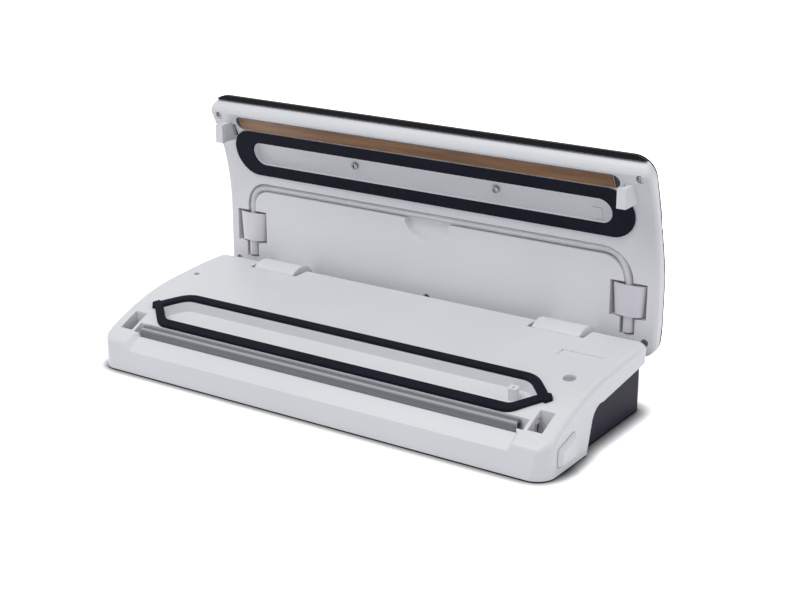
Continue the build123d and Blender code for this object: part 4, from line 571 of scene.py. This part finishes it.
def oval_shell():
    """Lid gasket: every section spans from the hole's outline to the outer outline, lies on the bowed
    inner face and stands proud of it, with a faint crown across."""
    inner = stadium(HOLE_HALF, HOLE_RADIUS, OVAL_RUNS, OVAL_TURNS)
    outer = stadium(GASKET_HALF, GASKET_RADIUS, OVAL_RUNS, OVAL_TURNS)
    across, high = cut_section(OVAL_STEPS, OVAL_SQUARE)
    share = 0.5 + 0.5 * across
    front = inner[:, None] + (outer - inner)[:, None] * share[None, :, None]
    height = GASKET_HEIGHT + front[..., 1]
    crown = 1.0 - GASKET_CROWN * across ** 2
    return in_place(front[..., 0], face_depth(height) - SEAT - GASKET_PROUD * high * crown, height)


base_ring = make_piece("base_foam_ring",
                       [(ring_shell(), True), (tail_shell(-1), False), (tail_shell(1), False)],
                       gasket_foam, "base", "base_gasket")
lid_oval = make_piece("lid_foam_oval", [(oval_shell(), True)],
                      gasket_foam, "lid", "lid_gasket")


# Pressing strip


def by_angle(loop, middle, count):
    """A loop's points met by rays at even angles from a point inside it."""
    ray = loop - middle
    angle = np.arctan2(ray[:, 1], ray[:, 0])
    order = np.argsort(angle)
    even = np.linspace(-np.pi, np.pi, count, endpoint=False)
    reach = np.interp(even, angle[order], np.hypot(*ray[order].T), period=2 * np.pi)
    return middle + reach[:, None] * np.stack([np.cos(even), np.sin(even)], 1)


def strip_shell():
    """Hollow strip: its rounded section carried along the width with a small round at each end, then the
    bore's section back again, so that the ends close as rings."""
    middle = np.array(BORE_MIDDLE)
    rounds = (STRIP_FOOT, STRIP_FOOT, STRIP_ROUND, STRIP_ROUND, STRIP_ROUND, STRIP_ROUND)
    section = by_angle(rounded_loop(STRIP_SECTION, rounds, STRIP_LOOP), middle, STRIP_POINTS)
    half = np.array([BORE_WIDE, BORE_TALL]) / 2
    square = middle + half * np.array([(-1, -1), (1, -1), (1, 1), (-1, 1)])
    bore = by_angle(rounded_loop(square, BORE_ROUND, BORE_LOOP), middle, STRIP_POINTS)
    turn = np.linspace(0, np.pi / 2, END_ROWS)
    end = STRIP_HALF - STRIP_END_ROUND * (1 - np.sin(turn))
    pinch = 1.0 - STRIP_PINCH * (1 - np.cos(turn))
    straight = STRIP_HALF - STRIP_END_ROUND
    x = np.concatenate([-end[::-1], np.linspace(-straight, straight, STRIP_ROWS)[1:-1], end])
    size = np.concatenate([pinch[::-1], np.ones(STRIP_ROWS - 2), pinch])
    wall = middle + size[:, None, None] * (section - middle)
    outside = in_place(x[:, None], wall[..., 0], wall[..., 1])
    inside = in_place(np.linspace(STRIP_HALF, -STRIP_HALF, BORE_ROWS)[:, None], bore[:, 0], bore[:, 1])
    return np.concatenate([outside, inside])


make_piece("hollow_pressing_strip", [(strip_shell(), True)],
           strip_rubber, "base", "seal_strip", STRIP_CREASE)


# Screws


def screw_shell(head_tall, length):
    """Pan-head screw about its own axis, from the middle of the head to the tip: a crowned head with a
    cross cut into it, a flat under the head and a shank whose thread winds round as it goes down."""
    turn = np.linspace(0, 2 * np.pi, SCREW_SIDES, endpoint=False)
    out = np.linspace(0, 1, HEAD_ROWS)[:, None]
    x, y = np.abs(HEAD_RADIUS * out * np.cos(turn)), np.abs(HEAD_RADIUS * out * np.sin(turn))
    arm, long_way = np.minimum(x, y), np.maximum(x, y)
    cut = smooth_step((CROSS_ARM - arm) / CROSS_EDGE) * smooth_step((CROSS_LONG - long_way) / CROSS_EDGE)
    crown = HEAD_CROWN * head_tall * out ** 4
    top = np.stack(np.broadcast_arrays(HEAD_RADIUS * out, crown + CROSS_DEEP * head_tall * cut), -1)
    side = np.array([(HEAD_RADIUS, HEAD_SHOULDER * head_tall), (HEAD_RADIUS, head_tall),
                     (HEAD_UNDER * HEAD_RADIUS, head_tall)])
    down = np.linspace(head_tall, length - THREAD_END, THREAD_ROWS)[:, None]
    wind = np.abs((down / THREAD_PITCH - turn / (2 * np.pi)) % 1.0 - 0.5) * 2
    thread = SHANK_RADIUS * (THREAD_ROOT + (1 - THREAD_ROOT) * wind)
    shank = np.stack(np.broadcast_arrays(thread, down), -1)
    tip = np.array([(TIP_SHARE * SHANK_RADIUS, length - TIP_TALL), (0.0, length)])
    side, tip = (np.repeat(part[:, None], SCREW_SIDES, 1) for part in (side, tip))
    profile = np.concatenate([top, side, shank, tip])
    return np.stack([profile[..., 0] * np.cos(turn), profile[..., 0] * np.sin(turn), profile[..., 1]], -1)


def screws_facing_front(spots, front, head_tall, length):
    """Copies of the screw with their heads towards the front, each at its own depth."""
    shape = screw_shell(head_tall, length)[..., [0, 2, 1]]
    places = [in_place(x, depth, height) for (x, height), depth in zip(spots, front)]
    return [(shape + place, False) for place in places]


def screws_facing_down(spots, bottom, head_tall, length):
    """Copies of the screw with their heads downwards."""
    shape = screw_shell(head_tall, length)
    return [(shape + in_place(x, depth, bottom), False) for x, depth in spots]


lid_front = face_depth(np.array(LID_SCREWS)[:, 1]) + LID_SINK
make_piece("lid_cross_screws", screws_facing_front(LID_SCREWS, lid_front, LID_HEAD, LID_LONG),
           painted_shade_steel, "lid", "lid_screws")
channel_height = np.array(CHANNEL_SCREWS)[:, 1]
channel_front = face_depth(channel_height + HEAD_RADIUS) + CHANNEL_DEEP - SEAT - CHANNEL_HEAD
make_piece("channel_cross_screws",
           screws_facing_front(CHANNEL_SCREWS, channel_front, CHANNEL_HEAD, CHANNEL_LONG),
           painted_shade_steel, "lid", "channel_screws")
make_piece("housing_cross_screws",
           screws_facing_down(HOUSING_SCREWS, HOUSING_BOTTOM, HOUSING_HEAD, HOUSING_LONG),
           screw_steel, "base", "housing_screws")


# Leaf springs behind the release buttons


def leaf_shell(side):
    """Bent leaf: a hyperbola's rounded V drawn in plan from the rib to the button, with the leaf's
    thickness set off square to it and its height upwards."""
    rib_end, button_end = LEAF_ENDS
    share = np.linspace(-1, 1, LEAF_ROWS)
    bent = (np.hypot(share, LEAF_BLUNT) - LEAF_BLUNT) / (np.hypot(1, LEAF_BLUNT) - LEAF_BLUNT)
    x = (rib_end + button_end) / 2 + share * (button_end - rib_end) / 2
    depth = LEAF_APEX - (LEAF_APEX - LEAF_FRONT) * bent
    along = np.gradient(np.stack([x, depth], 1), axis=0)
    along /= np.linalg.norm(along, axis=1)[:, None]
    away = LEAF_THICK / 2 * np.array([-1, 1, 1, -1])
    return closed_by_poles(in_place(side * (x[:, None] - along[:, 1:] * away),
                                    depth[:, None] + along[:, :1] * away,
                                    np.array(LEAF_HEIGHTS)[[0, 0, 1, 1]]))


for hand, side in (("left", -1), ("right", 1)):
    leaf = make_piece(f"bent_leaf_{hand}", [(leaf_shell(side), False)],
                      screw_steel, None, f"latch_spring_{hand}")
    leaf_from, leaf_to = in_place(side * np.array(LEAF_ENDS), LEAF_APEX, LEAF_HEIGHTS[0]) * MM
    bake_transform(leaf)


# Floor, light and camera


def seen_directly(tree):
    """One for rays from the camera, off a mirror or through a clear piece, and zero for other light."""
    rays = add(tree, "LightPath")
    seen = rays.outputs["Is Camera Ray"]
    for ray in ("Is Glossy Ray", "Is Transmission Ray"):
        seen = add(tree, "Math", {0: seen, 1: rays.outputs[ray]}, operation="MAXIMUM").outputs["Value"]
    return seen


def aimed(place):
    """Turn that points a lamp or camera at the middle of the view."""
    return (Vector(CAMERA_TO) - Vector(place)).to_track_quat("-Z", "Y").to_euler()


def pale_floor():
    """Wide floor under the feet. Other pieces see a plain pale surface; the camera and mirror rays see a
    full white with a painted contact shadow where the object stands close over it."""
    corners = [(x * FLOOR_HALF, y * FLOOR_HALF, 0) for x, y in ((-1, -1), (1, -1), (1, 1), (-1, 1))]
    mesh = bpy.data.meshes.new("floor")
    mesh.from_pydata(corners, [], [(0, 1, 2, 3)])
    material = bpy.data.materials.new("pale_floor")
    material.use_nodes = True
    tree = material.node_tree
    tree.nodes.clear()
    seen = seen_directly(tree)
    matt = add(tree, "BsdfDiffuse", values={"Color": FLOOR_MATT})
    # Painted contact shadow: the camera's white darkens by the occlusion as the object closes in over the
    # floor.
    open_sky = add(tree, "AmbientOcclusion", values={"Distance": PAINTED_SHADOW_REACH}, samples=16).outputs["AO"]
    under = add(tree, "Math", {0: open_sky}, {1: PAINTED_SHADOW_POWER}, operation="POWER").outputs["Value"]
    white = add(tree, "BsdfDiffuse", {"Color": ranged(tree, under, 0.0, FLOOR_WHITE)})
    mixed = add(tree, "MixShader", {0: seen, 1: matt.outputs["BSDF"], 2: white.outputs["BSDF"]})
    add(tree, "OutputMaterial", {"Surface": mixed.outputs["Shader"]})
    mesh.materials.append(material)
    floor = bpy.data.objects.new("floor", mesh)
    bpy.context.scene.collection.objects.link(floor)


def soft_light():
    """Even sky for the fill, white where the camera or a mirror ray meets it, one broad lamp overhead in
    front and a weak one from the right."""
    scene = bpy.context.scene
    scene.world = bpy.data.worlds.new("studio")
    scene.world.use_nodes = True
    tree = scene.world.node_tree
    tree.nodes.clear()
    seen = seen_directly(tree)
    fill = add(tree, "Background", values={"Color": SKY_COLOUR, "Strength": SKY_FILL})
    white = add(tree, "Background", values={"Color": (1, 1, 1, 1), "Strength": 1.0})
    mixed = add(tree, "MixShader", {0: seen, 1: fill.outputs["Background"], 2: white.outputs["Background"]})
    add(tree, "OutputWorld", {"Surface": mixed.outputs["Shader"]})
    for name, size, energy, place in LAMPS:
        lamp = bpy.data.lights.new(name, "AREA")
        lamp.shape = "DISK"
        lamp.size = size
        lamp.energy = energy
        holder = bpy.data.objects.new(name, lamp)
        holder.location = place
        holder.rotation_euler = aimed(place)
        scene.collection.objects.link(holder)


def photo_camera():
    """Camera at the photograph's place, aimed at its middle."""
    lens = bpy.data.cameras.new("photo_camera")
    lens.lens = CAMERA_LENS
    lens.sensor_width = CAMERA_SENSOR
    camera = bpy.data.objects.new("photo_camera", lens)
    camera.location = CAMERA_AT
    camera.rotation_euler = aimed(CAMERA_AT)
    bpy.context.scene.collection.objects.link(camera)
    bpy.context.scene.camera = camera


pale_floor()
soft_light()
photo_camera()
bpy.context.scene.view_settings.view_transform = "Standard"
